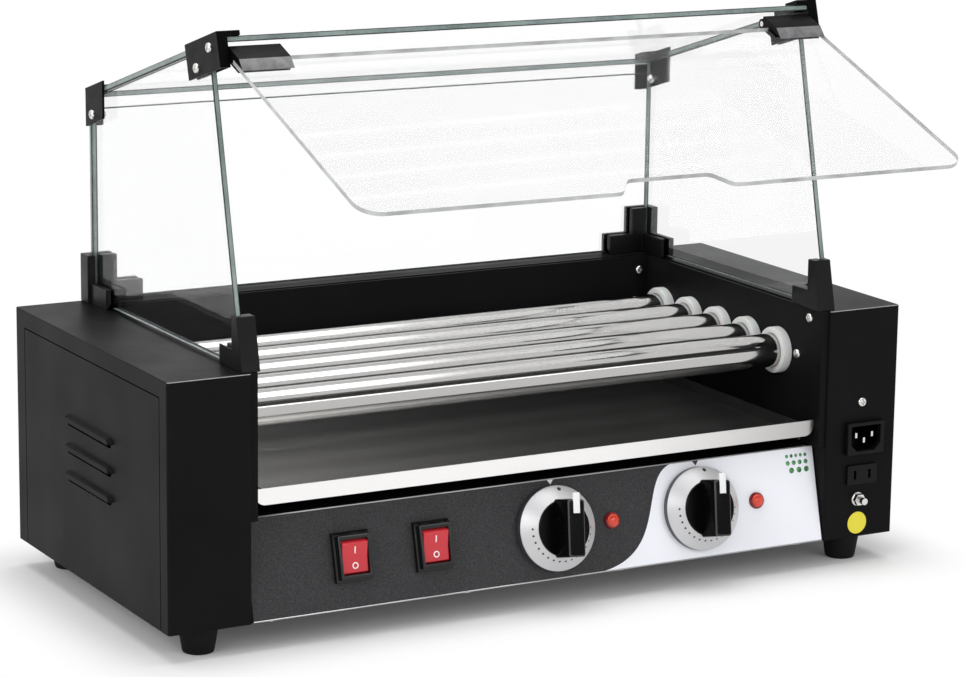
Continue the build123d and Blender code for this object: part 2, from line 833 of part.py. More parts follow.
# Gear motor: round can with a shaft bore, behind its bracket plate.
with BuildPart() as gear_motor:
    with BuildSketch(side_plane(motor_plate_x - bracket_sheet)):
        with Locations((motor_y, motor_z)):
            Circle(motor_diameter / 2)
    extrude(amount=-motor_length)
    with BuildSketch(side_plane(motor_plate_x - bracket_sheet)):
        with Locations((motor_y, motor_z)):
            Circle(motor_boss_diameter / 2)
    extrude(amount=bracket_sheet)
    with BuildSketch(side_plane(motor_plate_x)):
        with Locations((motor_y, motor_z)):
            Circle(motor_shaft_diameter / 2 + running_gap)
    extrude(amount=-bracket_sheet - motor_shaft_depth - wall_gap, mode=Mode.SUBTRACT)
keep(gear_motor, "gear_motor")

# Motor bracket: bent plate that stands on the base pan and carries the gear motor.
with BuildPart() as motor_bracket:
    block(
        (motor_plate_x - bracket_sheet, motor_plate_x),
        (motor_y - motor_plate_size[0] / 2, motor_y + motor_plate_size[0] / 2),
        (sheet, motor_z + motor_diameter / 2),
    )
    block(
        (motor_plate_x - motor_plate_size[1], motor_plate_x),
        (motor_y - motor_plate_size[0] / 2, motor_y + motor_plate_size[0] / 2),
        (sheet, sheet + bracket_sheet),
    )
    with BuildSketch(side_plane(motor_plate_x)):
        with Locations((motor_y, motor_z)):
            Circle(motor_boss_diameter / 2 + screw_gap)
    extrude(amount=-bracket_sheet, mode=Mode.SUBTRACT)
keep(motor_bracket, "motor_bracket")

# Heater rods: one fixed rod inside each roller tube.
heater_left = roller_left + heater_overhang
heater_right = roller_right + heater_overhang
with BuildPart() as heater_rods:
    with BuildSketch(side_plane(-heater_left)):
        with Locations([(y, roller_z) for y in roller_ys]):
            Circle(heater_diameter / 2)
    extrude(amount=heater_left + heater_right)
keep(heater_rods, "heater_rods")

# Heater brackets: bent plates past the tube ends that hold the rods and hang from the
# housings' inner sides.
with BuildPart() as heater_brackets:
    for side, tube_end in ((-1, roller_left), (1, roller_right)):
        plate_x = tube_end + bracket_gap
        bracket_span = (roller_ys[0] - bracket_margin, roller_ys[-1] + bracket_margin)
        hook_x = housing_inner + sheet
        bracket_under = bracket_top - bracket_sheet
        block(
            span(side, plate_x, plate_x + bracket_sheet),
            bracket_span,
            (roller_z - bracket_drop, bracket_top),
        )
        block(span(side, hook_x, plate_x + bracket_sheet), bracket_span, (bracket_under, bracket_top))
        block(
            span(side, hook_x, hook_x + bracket_sheet),
            bracket_span,
            (bracket_under, bracket_top + bracket_tab),
        )
        with BuildSketch(side_plane(side * plate_x)):
            with Locations([(y, roller_z) for y in roller_ys]):
                Circle(heater_diameter / 2 + screw_gap)
        extrude(amount=side * bracket_sheet, mode=Mode.SUBTRACT)
keep(heater_brackets, "heater_brackets")

# Thermostats: square bodies behind the panel, each with a bore for its knob's spindle.
with BuildPart() as thermostats:
    with BuildSketch(panel_plane(-sheet)):
        with Locations([(x, control_height) for x in dial_x]):
            Rectangle(thermostat_size, thermostat_size)
    extrude(amount=-thermostat_depth)
    with BuildSketch(panel_plane(-sheet)):
        with Locations([(x, control_height) for x in dial_x]):
            Circle(spindle_diameter / 2 + running_gap)
    extrude(amount=-spindle_length - wall_gap, mode=Mode.SUBTRACT)
keep(thermostats, "thermostats")

# Dials: a silver skirt that rises in a cone to the knob, and a black knob with a bar handle,
# which stands a little off upright, a pointer on its upper end and its spindle.
skirt_low = film + skirt_gap
skirt_top = skirt_low + skirt_height + skirt_rise
for place, x in zip(("front", "rear"), dial_x):
    dial_foot = panel_plane(skirt_low).from_local_coords((x, control_height, 0))
    dial_axis = panel_plane(0).z_dir
    bore_radius = spindle_diameter / 2 + screw_gap
    with BuildPart() as dial_skirt:
        with BuildSketch(Plane(origin=dial_foot, x_dir=(1, 0, 0), z_dir=-panel_plane(0).y_dir)):
            with BuildLine():
                Polyline(
                    (bore_radius, 0),
                    (skirt_diameter / 2, 0),
                    (skirt_diameter / 2, skirt_height),
                    (grip_diameter / 2, skirt_height + skirt_rise),
                    (bore_radius, skirt_height + skirt_rise),
                    close=True,
                )
            make_face()
        revolve(axis=Axis(dial_foot, dial_axis))
        rims = dial_skirt.edges().filter_by(GeomType.CIRCLE).group_by(SortBy.RADIUS)[-1]
        fillet(rims, skirt_rim)
    keep(dial_skirt, f"{place}_dial_skirt")

    with BuildPart() as knob:
        with BuildSketch(panel_plane(skirt_top)):
            with Locations((x, control_height)):
                Circle(grip_diameter / 2)
        extrude(amount=grip_height)
        with BuildSketch(panel_plane(skirt_top)):
            with Locations((x, control_height)):
                RectangleRounded(bar_width, bar_length, bar_corner_radius, rotation=bar_turn)
        extrude(amount=bar_height - skirt_top, taper=bar_taper)
        with BuildSketch(panel_plane(bar_height - pointer_depth)):
            with Locations(Pos(x, control_height) * Rot(Z=bar_turn) * Pos(0, pointer_offset)):
                Rectangle(*pointer_size)
        extrude(amount=pointer_depth + pointer_rise)
        with BuildSketch(panel_plane(skirt_top)):
            with Locations((x, control_height)):
                Circle(spindle_diameter / 2)
        extrude(amount=-skirt_top - sheet - spindle_length)
    keep(knob, f"{place}_knob")

# Rocker switches: stepped frames snapped into the panel, with a tilted rocker on trunnions.
rocker_well = (rocker_width + 2 * rocker_gap, 2 * (rocker_radius + rocker_gap))
with BuildPart() as switch_frames:
    for size, low, high in (
        (switch_flange, film, switch_flange_rise),
        (switch_step, switch_flange_rise, switch_rise),
        (switch_body, -switch_body_depth, film),
    ):
        with BuildSketch(panel_plane(low)):
            with Locations([(x, control_height) for x in switch_x]):
                Rectangle(*size)
        extrude(amount=high - low)
    with BuildSketch(panel_plane(switch_rise)):
        with Locations([(x, control_height) for x in switch_x]):
            Rectangle(*rocker_well)
    extrude(amount=-switch_rise - switch_body_depth + switch_floor, mode=Mode.SUBTRACT)
    for x in switch_x:
        trunnion_reach = rocker_width / 2 + trunnion_length + rocker_gap
        pivot = panel_plane(rocker_pivot_rise).from_local_coords((x - trunnion_reach, control_height, 0))
        with BuildSketch(Plane(origin=pivot, x_dir=(0, 1, 0), z_dir=(1, 0, 0))):
            Circle(trunnion_diameter / 2 + running_gap)
        extrude(amount=2 * trunnion_reach, mode=Mode.SUBTRACT)
keep(switch_frames, "switch_frames")

for number, x in enumerate(switch_x, 1):
    with BuildPart() as rocker:
        turn = tilt - math.radians(rocker_tilt)
        pivot = panel_plane(rocker_pivot_rise).from_local_coords((x - rocker_width / 2, control_height, 0))
        face_up = Vector(0, math.sin(turn), math.cos(turn))
        rocker_plane = Plane(origin=pivot, x_dir=face_up, z_dir=(1, 0, 0))
        with BuildSketch(rocker_plane):
            Circle(rocker_radius)
            with BuildLine():
                Polyline(
                    (-rocker_radius, -rocker_base),
                    (rocker_radius, -rocker_base),
                    (rocker_radius, rocker_rise),
                    (0, rocker_valley),
                    (-rocker_radius, rocker_rise),
                    close=True,
                )
            make_face(mode=Mode.INTERSECT)
        extrude(amount=rocker_width)
        with BuildSketch(rocker_plane.offset(-trunnion_length)):
            Circle(trunnion_diameter / 2)
        extrude(amount=rocker_width + 2 * trunnion_length)
    keep(rocker, f"rocker_{number}")

# Indicator lamps: domed red lenses with a body behind the panel.
with BuildPart() as indicator_lamps:
    with BuildSketch(panel_plane(film)):
        with Locations([(x, control_height) for x in lamp_x]):
            Circle(lamp_diameter / 2)
    extrude(amount=lamp_rise)
    lens_rims = indicator_lamps.edges().filter_by(GeomType.CIRCLE).sort_by(Axis.Y)[: len(lamp_x)]
    fillet(lens_rims, lamp_dome)
    with BuildSketch(panel_plane(film)):
        with Locations([(x, control_height) for x in lamp_x]):
            Circle(lamp_body_diameter / 2)
    extrude(amount=-film - lamp_body_length)
keep(indicator_lamps, "indicator_lamps")

# Power inlet: moulded flange and body with a recess for the mains connector.
with BuildPart() as power_inlet:
    with BuildSketch(front_plane(0)):
        with Locations(inlet_centre):
            Rectangle(*inlet_flange)
    extrude(amount=inlet_rise)
    with BuildSketch(front_plane(0)):
        with Locations(inlet_centre):
            Rectangle(*inlet_body)
    extrude(amount=-inlet_body_depth)
    with BuildSketch(front_plane(-inlet_rise)) as recess:
        with Locations(inlet_centre):
            Rectangle(*inlet_recess)
        chamfer(recess.vertices().group_by(Axis.Y)[0], inlet_chamfer)
    extrude(amount=-inlet_recess_depth, mode=Mode.SUBTRACT)
    pin_places = [
        (inlet_centre[0] - pin_spacing / 2, inlet_centre[1] + pin_offset / 2),
        (inlet_centre[0] + pin_spacing / 2, inlet_centre[1] + pin_offset / 2),
        (inlet_centre[0], inlet_centre[1] - pin_offset / 2),
    ]
keep(power_inlet, "power_inlet")

# Inlet pins: two blades for the mains and one for the earth, standing on the recess floor.
with BuildPart() as inlet_pins:
    with BuildSketch(front_plane(inlet_recess_depth - inlet_rise)):
        with Locations(pin_places):
            Rectangle(*pin_size)
    extrude(amount=pin_length)
keep(inlet_pins, "inlet_pins")

# Auxiliary outlet: moulded face and body with two blade slots.
with BuildPart() as aux_outlet:
    with BuildSketch(front_plane(0)):
        with Locations(outlet_centre):
            RectangleRounded(*outlet_face, outlet_rise / 2)
    extrude(amount=outlet_rise)
    with BuildSketch(front_plane(0)):
        with Locations(outlet_centre):
            Rectangle(*outlet_body)
    extrude(amount=-outlet_body_depth)
    with BuildSketch(front_plane(-outlet_rise)):
        slot_x = [outlet_centre[0] + side * slot_spacing / 2 for side, end in ends]
        with Locations([(x, outlet_centre[1]) for x in slot_x]):
            Rectangle(*slot_size)
    extrude(amount=-slot_depth, mode=Mode.SUBTRACT)
keep(aux_outlet, "aux_outlet")

# Earth stud: bolt through the housing front with a washer and a hexagon nut.
with BuildPart() as earth_stud:
    with BuildSketch(front_plane(-stud_rise)):
        with Locations(stud_place):
            Circle(stud_diameter / 2)
    extrude(amount=-stud_rise - sheet - stud_tail)
    with BuildSketch(front_plane(0)):
        with Locations(stud_place):
            Circle(washer_diameter / 2)
            Circle(stud_diameter / 2 + screw_gap, mode=Mode.SUBTRACT)
    extrude(amount=washer_thickness)
    with BuildSketch(front_plane(-washer_thickness)):
        with Locations(stud_place):
            RegularPolygon(nut_across_flats / 2, 6, major_radius=False)
            Circle(stud_diameter / 2 + screw_gap, mode=Mode.SUBTRACT)
    extrude(amount=nut_height)
keep(earth_stud, "earth_stud")

# Terminal block: moulded wiring block on the base pan, inside the right housing.
with BuildPart() as terminal_block:
    block(
        (terminal_place[0] - terminal_size[0] / 2, terminal_place[0] + terminal_size[0] / 2),
        (terminal_place[1] - terminal_size[1] / 2, terminal_place[1] + terminal_size[1] / 2),
        (sheet, sheet + terminal_size[2]),
    )
keep(terminal_block, "terminal_block")


def side_glass_front(z):
    """How far back the leaning front edge of the side glass is at a height."""
    return side_glass_foot_y + (z - body_height) * math.tan(lean)


def roof_under(y):
    """Height of the roof glass's underside at a distance back."""
    return roof_front_z - glass / math.cos(slope) - (y - roof_front_y) * math.tan(slope)


# Place of the screw through each rear clip and the side glass.
rear_clip_screw_y = rear_clip_back - rear_clip_screw_place[0]
rear_clip_screw_z = roof_under(rear_clip_screw_y) - rear_clip_drop + rear_clip_screw_place[1]

# Side glasses: upright panes on the housings, with a leaning front edge, a sloping top and
# a hole for the rear clip's screw.
front_reach = roof_under(roof_front_y) - body_height
top_front_y = roof_front_y + (
    side_glass_foot_y + front_reach * math.tan(lean) - roof_front_y
) / (1 + math.tan(slope) * math.tan(lean))
for side, end in ends:
    with BuildPart() as side_glass:
        with BuildSketch(side_plane(side * side_glass_inner)):
            with BuildLine():
                Polyline(
                    (side_glass_front(glass_foot_z), glass_foot_z),
                    (top_front_y, roof_under(top_front_y)),
                    (side_glass_rear_y, roof_under(side_glass_rear_y)),
                    (side_glass_rear_y, glass_foot_z),
                    close=True,
                )
            make_face()
            with Locations((rear_clip_screw_y, rear_clip_screw_z)):
                Circle(screw_shank_diameter / 2 + screw_gap, mode=Mode.SUBTRACT)
        extrude(amount=side * glass)
    keep(side_glass, f"{end}_side_glass")

# Rear glass: upright pane behind the side glasses, ending short of the roof.
rear_glass_top = roof_under(rear_glass_y + glass) - rear_glass_drop
with BuildPart() as rear_glass:
    block(
        (-side_glass_outer, side_glass_outer),
        (rear_glass_y, rear_glass_y + glass),
        (glass_foot_z, rear_glass_top),
    )
keep(rear_glass, "rear_glass")

# Roof glass: sloping pane that lies on the side glasses.
with BuildPart() as top_glass:
    with BuildSketch(roof_plane(-side_glass_outer)):
        with Locations((roof_length / 2, -glass / 2)):
            Rectangle(roof_length, glass)
    extrude(amount=2 * side_glass_outer)
keep(top_glass, "top_glass")

# Front base brackets: moulded shoes that hold the front foot of each side glass, with a
# leaning column and a low arm.
with BuildPart() as front_base_brackets:
    shoe_inner = side_glass_inner - front_bracket_inner
    shoe_outer = side_glass_outer + front_bracket_outer
    shoe_front = side_glass_foot_y - front_bracket_wall
    shoe_top = body_height + front_bracket_height
    shoe_lean = front_bracket_height * math.tan(lean)
    arm_top = body_height + front_bracket_arm_height
    for side, end in ends:
        with BuildSketch(side_plane(side * shoe_inner)):
            with BuildLine():
                Polyline(
                    (shoe_front, body_height),
                    (shoe_front + shoe_lean, shoe_top),
                    (shoe_front + shoe_lean + front_bracket_column, shoe_top),
                    (shoe_front + shoe_lean + front_bracket_column, arm_top),
                    (shoe_front + front_bracket_arm, arm_top),
                    (shoe_front + front_bracket_arm, body_height),
                    close=True,
                )
            make_face()
        extrude(amount=side * (shoe_outer - shoe_inner))
        with BuildSketch(side_plane(side * (side_glass_inner - glass_gap))):
            with BuildLine():
                Polyline(
                    (side_glass_front(glass_foot_z) - glass_gap, glass_foot_z),
                    (side_glass_front(shoe_top) - glass_gap, shoe_top),
                    (shoe_front + front_bracket_arm, shoe_top),
                    (shoe_front + front_bracket_arm, glass_foot_z),
                    close=True,
                )
            make_face()
        extrude(amount=side * (glass + 2 * glass_gap), mode=Mode.SUBTRACT)
keep(front_base_brackets, "front_base_brackets")

# Rear base brackets: moulded corner shoes with a tall column and two low arms, slotted for
# the side glass and the rear glass.
with BuildPart() as rear_base_brackets:
    column_front = body_depth - rear_bracket_column_y
    column_top = body_height + rear_bracket_height
    rear_arm_top = body_height + rear_bracket_arm_height
    side_arm = (side_glass_inner - rear_bracket_wall, side_glass_outer + rear_bracket_wall)
    for side, end in ends:
        block(span(side, *rear_bracket_column_x), (column_front, body_depth), (body_height, column_top))
        block(
            span(side, rear_bracket_arm_x, rear_bracket_column_x[1]),
            (column_front, body_depth),
            (body_height, rear_arm_top),
        )
        block(span(side, *side_arm), (rear_bracket_arm_y, body_depth), (body_height, rear_arm_top))
        block(
            span(side, side_glass_inner - glass_gap, side_glass_outer + glass_gap),
            (rear_bracket_arm_y, rear_glass_y),
            (glass_foot_z, column_top),
            Mode.SUBTRACT,
        )
        block(
            span(side, rear_bracket_arm_x, side_glass_outer + glass_gap),
            (rear_glass_y - glass_gap, rear_glass_y + glass + glass_gap),
            (glass_foot_z, column_top),
            Mode.SUBTRACT,
        )
keep(rear_base_brackets, "rear_base_brackets")

# Front top clips: folded plates on both faces of the side glass, joined in front of the roof
# glass, with a tab over its top. The inner plate carries the door's hinge pin.
clip_outer = side_glass_outer + clip_plate
clip_inner = side_glass_inner - clip_plate
with BuildPart() as front_top_clips:
    for side, end in ends:
        with BuildSketch(roof_plane(side * side_glass_outer)):
            with BuildLine():
                Polyline(
                    (-clip_front, -clip_drop),
                    (clip_length, -clip_drop),
                    (clip_length, clip_top),
                    (-clip_front, clip_top),
                    close=True,
                )
            make_face()
            with Locations(clip_screws):
                Circle(screw_shank_diameter / 2 + screw_gap, mode=Mode.SUBTRACT)
        extrude(amount=side * clip_plate)
        with BuildSketch(roof_plane(side * clip_inner)):
            with BuildLine():
                Polyline(
                    (-clip_front, -clip_drop),
                    (clip_length, -clip_drop),
                    (clip_length, -glass),
                    (-clip_front, -glass),
                    close=True,
                )
            make_face()
        extrude(amount=side * clip_plate)
        with BuildSketch(roof_plane(side * clip_inner)):
            with BuildLine():
                Polyline(
                    (-clip_front, -clip_drop),
                    (0, -clip_drop),
                    (0, clip_top),
                    (-clip_front, clip_top),
                    close=True,
                )
            make_face()
        extrude(amount=side * (clip_outer - clip_inner))
        with BuildSketch(roof_plane(side * (clip_outer - clip_tab_width))):
            with BuildLine():
                Polyline(
                    (-clip_front, 0),
                    (clip_tab_length, 0),
                    (clip_tab_length, clip_top),
                    (-clip_front, clip_top),
                    close=True,
                )
            make_face()
        extrude(amount=side * clip_tab_width)
        pin_seat = door_pivot_point(side * clip_inner)
        with BuildSketch(Plane(origin=pin_seat, x_dir=(0, 1, 0), z_dir=(1, 0, 0))):
            Circle(hinge_pin_diameter / 2 + screw_gap)
        extrude(amount=side * clip_plate, mode=Mode.SUBTRACT)
keep(front_top_clips, "front_top_clips")

# Rear top clips: plates outside the side glass, folded behind the rear glass, with a tab over
# the roof glass.
rear_clip_cover = (glass + clip_top) / math.cos(slope)
with BuildPart() as rear_top_clips:
    for side, end in ends:
        with BuildSketch(side_plane(side * side_glass_outer)):
            with BuildLine():
                Polyline(
                    (rear_clip_front, roof_under(rear_clip_front) - rear_clip_drop),
                    (rear_clip_back, roof_under(rear_clip_back) - rear_clip_drop),
                    (rear_clip_back, roof_under(rear_clip_back) + rear_clip_cover),
                    (rear_clip_front, roof_under(rear_clip_front) + rear_clip_cover),
                    close=True,
                )
            make_face()
            with Locations((rear_clip_screw_y, rear_clip_screw_z)):
                Circle(screw_shank_diameter / 2 + screw_gap, mode=Mode.SUBTRACT)
        extrude(amount=side * clip_plate)
        with BuildSketch(roof_plane(side * (clip_outer - rear_clip_width))):
            with Locations((roof_length - clip_tab_length / 2, clip_top / 2)):
                Rectangle(clip_tab_length, clip_top)
        extrude(amount=side * rear_clip_width)
        block(
            span(side, clip_outer - rear_clip_width, clip_outer),
            (rear_clip_back - clip_plate, rear_clip_back),
            (roof_under(rear_clip_back) - rear_clip_drop, roof_under(rear_clip_back)),
        )
keep(rear_top_clips, "rear_top_clips")

# Hinge pins: fixed in the front clips' inner plates, one at each end of the door.
hinge_clip_near = door_half - hinge_clip_width
with BuildPart() as door_hinge_pins:
    for side, end in ends:
        pin_start = door_pivot_point(side * hinge_clip_near)
        with BuildSketch(Plane(origin=pin_start, x_dir=(0, 1, 0), z_dir=(1, 0, 0))):
            Circle(hinge_pin_diameter / 2)
        extrude(amount=side * (side_glass_outer - hinge_clip_near))
keep(door_hinge_pins, "door_hinge_pins")

# Front door: clear pane, open at rest, with rounded lower corners and a finger notch.
with BuildPart() as front_door:
    underside = Vector(0, math.sin(door_fall), -math.cos(door_fall))
    with BuildSketch(Plane(origin=door_pivot_point(0), x_dir=(1, 0, 0), z_dir=underside)):
        with BuildLine():
            FilletPolyline(
                (-door_half, door_start),
                (-door_half, door_length),
                (-notch_outer, door_length),
                (-notch_inner, door_length - notch_depth),
                (notch_inner, door_length - notch_depth),
                (notch_outer, door_length),
                (door_half, door_length),
                (door_half, door_start),
                radius=[
                    door_top_radius,
                    door_corner_radius,
                    notch_radius,
                    notch_radius,
                    notch_radius,
                    notch_radius,
                    door_corner_radius,
                    door_top_radius,
                ],
                close=True,
            )
        make_face()
    extrude(amount=door_thickness / 2, both=True)
keep(front_door, "front_door")

# Door hinge clips: folded caps that grip the top corners of the door and turn on the pins.
with BuildPart() as door_hinge_clips:
    half_door = door_thickness / 2
    under = half_door + hinge_clip_plate
    for side, end in ends:
        with BuildSketch(door_side_plane(side * hinge_clip_near)):
            with BuildLine():
                Polyline(
                    (0, hinge_clip_rise),
                    (hinge_clip_face, hinge_clip_rise),
                    (hinge_clip_length, half_door),
                    (door_start, half_door),
                    (door_start, -half_door),
                    (hinge_clip_under, -half_door),
                    (hinge_clip_under, -under),
                    (0, -under),
                    close=True,
                )
            make_face()
            Circle(hinge_barrel_diameter / 2)
            Circle(hinge_pin_diameter / 2 + running_gap, mode=Mode.SUBTRACT)
        extrude(amount=-side * hinge_clip_width)
keep(door_hinge_clips, "door_hinge_clips")


def add_screw(seat, shank_length):
    """A pan-head screw on a seat plane, its shank running back through the sheet."""
    with Locations(seat):
        Cylinder(
            screw_shank_diameter / 2,
            shank_length,
            align=(Align.CENTER, Align.CENTER, Align.MAX),
        )
        Cylinder(
            screw_head_diameter / 2,
            screw_head_rise,
            align=(Align.CENTER, Align.CENTER, Align.MIN),
        )


# Clip screws: short ones in the front clips' outer plates, and one through each rear clip and
# its side glass with a cap nut inside.
with BuildPart() as clip_screw_set:
    for side, end in ends:
        for along, up in clip_screws:
            seat_point = roof_plane(side * clip_outer).from_local_coords((along, up, 0))
            add_screw(Plane(origin=seat_point, z_dir=(side, 0, 0)), clip_plate)
        through = (front_y + rear_clip_screw_y, foot_height + rear_clip_screw_z)
        add_screw(Plane(origin=(side * clip_outer, *through), z_dir=(side, 0, 0)), clip_plate + glass)
        with Locations(Plane(origin=(side * side_glass_inner, *through), z_dir=(-side, 0, 0))):
            Cylinder(
                clip_nut_diameter / 2,
                clip_nut_rise,
                align=(Align.CENTER, Align.CENTER, Align.MIN),
            )
keep(clip_screw_set, "clip_screws")

# Housing screws: in the right housing's front, the roller walls, the rear inner wall and
# up through the base pan into the control panel's flange.
with BuildPart() as housing_screws:
    front_seat = (housing_screw[0], front_y, foot_height + housing_screw[1])
    add_screw(Plane(origin=front_seat, z_dir=(0, -1, 0)), sheet)
    rear_seat = (rear_wall_screw[0], front_y + rear_wall_y, foot_height + rear_wall_screw[1])
    add_screw(Plane(origin=rear_seat, z_dir=(0, -1, 0)), sheet)
    for side, end in ends:
        for y, z in wall_screws:
            wall_seat = (side * bay_half, front_y + y, foot_height + z)
            add_screw(Plane(origin=wall_seat, z_dir=(-side, 0, 0)), sheet)
        for x in base_screw_x:
            base_seat = (side * x, front_y + base_screw_y, foot_height)
            add_screw(Plane(origin=base_seat, z_dir=(0, 0, -1)), 2 * sheet)
keep(housing_screws, "housing_screws")
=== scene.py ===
import bmesh
import bpy
import json
import math
from mathutils import Matrix, Vector

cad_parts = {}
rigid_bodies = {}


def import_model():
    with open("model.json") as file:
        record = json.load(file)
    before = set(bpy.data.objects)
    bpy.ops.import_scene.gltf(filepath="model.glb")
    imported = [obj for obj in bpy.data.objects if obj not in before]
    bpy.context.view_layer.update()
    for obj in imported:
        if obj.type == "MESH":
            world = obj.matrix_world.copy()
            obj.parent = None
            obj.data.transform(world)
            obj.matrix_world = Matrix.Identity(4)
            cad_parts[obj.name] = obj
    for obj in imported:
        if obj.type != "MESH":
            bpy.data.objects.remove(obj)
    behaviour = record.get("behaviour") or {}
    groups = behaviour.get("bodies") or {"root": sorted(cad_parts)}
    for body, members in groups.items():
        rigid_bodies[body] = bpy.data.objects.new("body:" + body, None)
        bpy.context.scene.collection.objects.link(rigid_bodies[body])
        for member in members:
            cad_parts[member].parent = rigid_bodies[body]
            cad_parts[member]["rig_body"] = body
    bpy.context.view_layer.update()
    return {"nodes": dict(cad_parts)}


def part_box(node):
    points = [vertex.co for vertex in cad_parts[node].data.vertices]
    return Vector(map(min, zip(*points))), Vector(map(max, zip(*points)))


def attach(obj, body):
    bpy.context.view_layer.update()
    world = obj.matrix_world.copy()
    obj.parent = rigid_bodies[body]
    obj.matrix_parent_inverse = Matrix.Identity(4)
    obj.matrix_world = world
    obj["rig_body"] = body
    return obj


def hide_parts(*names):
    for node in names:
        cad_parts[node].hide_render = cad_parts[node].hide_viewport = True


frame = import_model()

nodes = frame["nodes"]

# Folded sheet body: base pan, end housings, side covers, roller walls and rear sheets.
# They are mild steel under a satin black powder coat, which has a fine orange peel. A grey strip
# along the upper front folds of the housings is a painted highlight.
same_point = 1e-6
flat_angle = math.radians(0.5)
crease_angle = math.radians(32)
sharp_angle = math.radians(40)


def new_finish(name, colour, roughness, metallic=0.0):
    """A finish with one even colour, and its shader."""
    material = bpy.data.materials.new(name)
    material.use_nodes = True
    shader = material.node_tree.nodes["Principled BSDF"]
    shader.inputs["Base Color"].default_value = (*colour, 1)
    shader.inputs["Roughness"].default_value = roughness
    shader.inputs["Metallic"].default_value = metallic
    return material, shader


def grain(shader, scale, stretch=(1, 1, 1), detail=2.0):
    """Noise over the piece's own coordinates, in metres, drawn out by a stretch."""
    tree = shader.id_data
    place = tree.nodes.new("ShaderNodeTexCoord")
    mapping = tree.nodes.new("ShaderNodeMapping")
    noise = tree.nodes.new("ShaderNodeTexNoise")
    mapping.inputs["Scale"].default_value = stretch
    noise.inputs["Scale"].default_value = scale
    noise.inputs["Detail"].default_value = detail
    tree.links.new(place.outputs["Object"], mapping.inputs["Vector"])
    tree.links.new(mapping.outputs["Vector"], noise.inputs["Vector"])
    return noise.outputs["Fac"]


def mottle(shader, pattern, dark, light, low=0.35, high=0.65):
    """Base colour that wanders from dark to light with a pattern."""
    tree = shader.id_data
    ramp = tree.nodes.new("ShaderNodeValToRGB")
    ramp.color_ramp.elements[0].position = low
    ramp.color_ramp.elements[0].color = (*dark, 1)
    ramp.color_ramp.elements[1].position = high
    ramp.color_ramp.elements[1].color = (*light, 1)
    tree.links.new(pattern, ramp.inputs["Fac"])
    tree.links.new(ramp.outputs["Color"], shader.inputs["Base Color"])


def uneven_gloss(shader, pattern, smooth, rough, low=0.3, high=0.7):
    """Roughness that wanders from smooth to rough with a pattern."""
    tree = shader.id_data
    spread = tree.nodes.new("ShaderNodeMapRange")
    spread.inputs["From Min"].default_value = low
    spread.inputs["From Max"].default_value = high
    spread.inputs["To Min"].default_value = smooth
    spread.inputs["To Max"].default_value = rough
    tree.links.new(pattern, spread.inputs["Value"])
    tree.links.new(spread.outputs["Result"], shader.inputs["Roughness"])


def relief(shader, pattern, depth, strength=1.0):
    """Fine relief of a pattern, with a depth in metres."""
    tree = shader.id_data
    bump = tree.nodes.new("ShaderNodeBump")
    bump.inputs["Strength"].default_value = strength
    bump.inputs["Distance"].default_value = depth
    tree.links.new(pattern, bump.inputs["Height"])
    tree.links.new(bump.outputs["Normal"], shader.inputs["Normal"])


def coat(material, *names):
    """Give CAD nodes a finish in place of their plain one."""
    for name in names:
        slots = nodes[name].data.materials
        slots.clear()
        slots.append(material)


def new_piece(name, mesh, body, slot, *materials):
    """Turn a bmesh into a shown piece that rides on a body. Sharp edges stay sharp."""
    for edge in mesh.edges:
        edge.smooth = len(edge.link_faces) == 2 and edge.calc_face_angle() < crease_angle
    for face in mesh.faces:
        face.smooth = True
    data = bpy.data.meshes.new(name)
    mesh.to_mesh(data)
    mesh.free()
    piece = bpy.data.objects.new(name, data)
    bpy.context.scene.collection.objects.link(piece)
    for material in materials:
        data.materials.append(material)
    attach(piece, body)
    return piece


def eased(node, edge, name, slot, *materials, shortest=0.003):
    """A copy of a CAD node with its flats joined and its long sharp edges rounded."""
    mesh = bmesh.new()
    mesh.from_mesh(nodes[node].data)
    bmesh.ops.remove_doubles(mesh, verts=mesh.verts, dist=same_point)
    bmesh.ops.dissolve_limit(mesh, angle_limit=flat_angle, verts=mesh.verts, edges=mesh.edges)
    sharp = [
        e
        for e in mesh.edges
        if len(e.link_faces) == 2
        and e.calc_face_angle() > sharp_angle
        and e.calc_length() > shortest
    ]
    bmesh.ops.bevel(
        mesh,
        geom=sharp,
        offset=edge,
        offset_type="OFFSET",
        segments=2,
        profile=0.5,
        affect="EDGES",
        clamp_overlap=True,
        material=-1,
    )
    bmesh.ops.triangulate(mesh, faces=[f for f in mesh.faces if len(f.verts) > 4])
    piece = new_piece(name, mesh, nodes[node]["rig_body"], slot, *materials)
    flats = piece.modifiers.new("keep_flats_flat", "WEIGHTED_NORMAL")
    flats.keep_sharp = True
    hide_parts(node)
    return piece


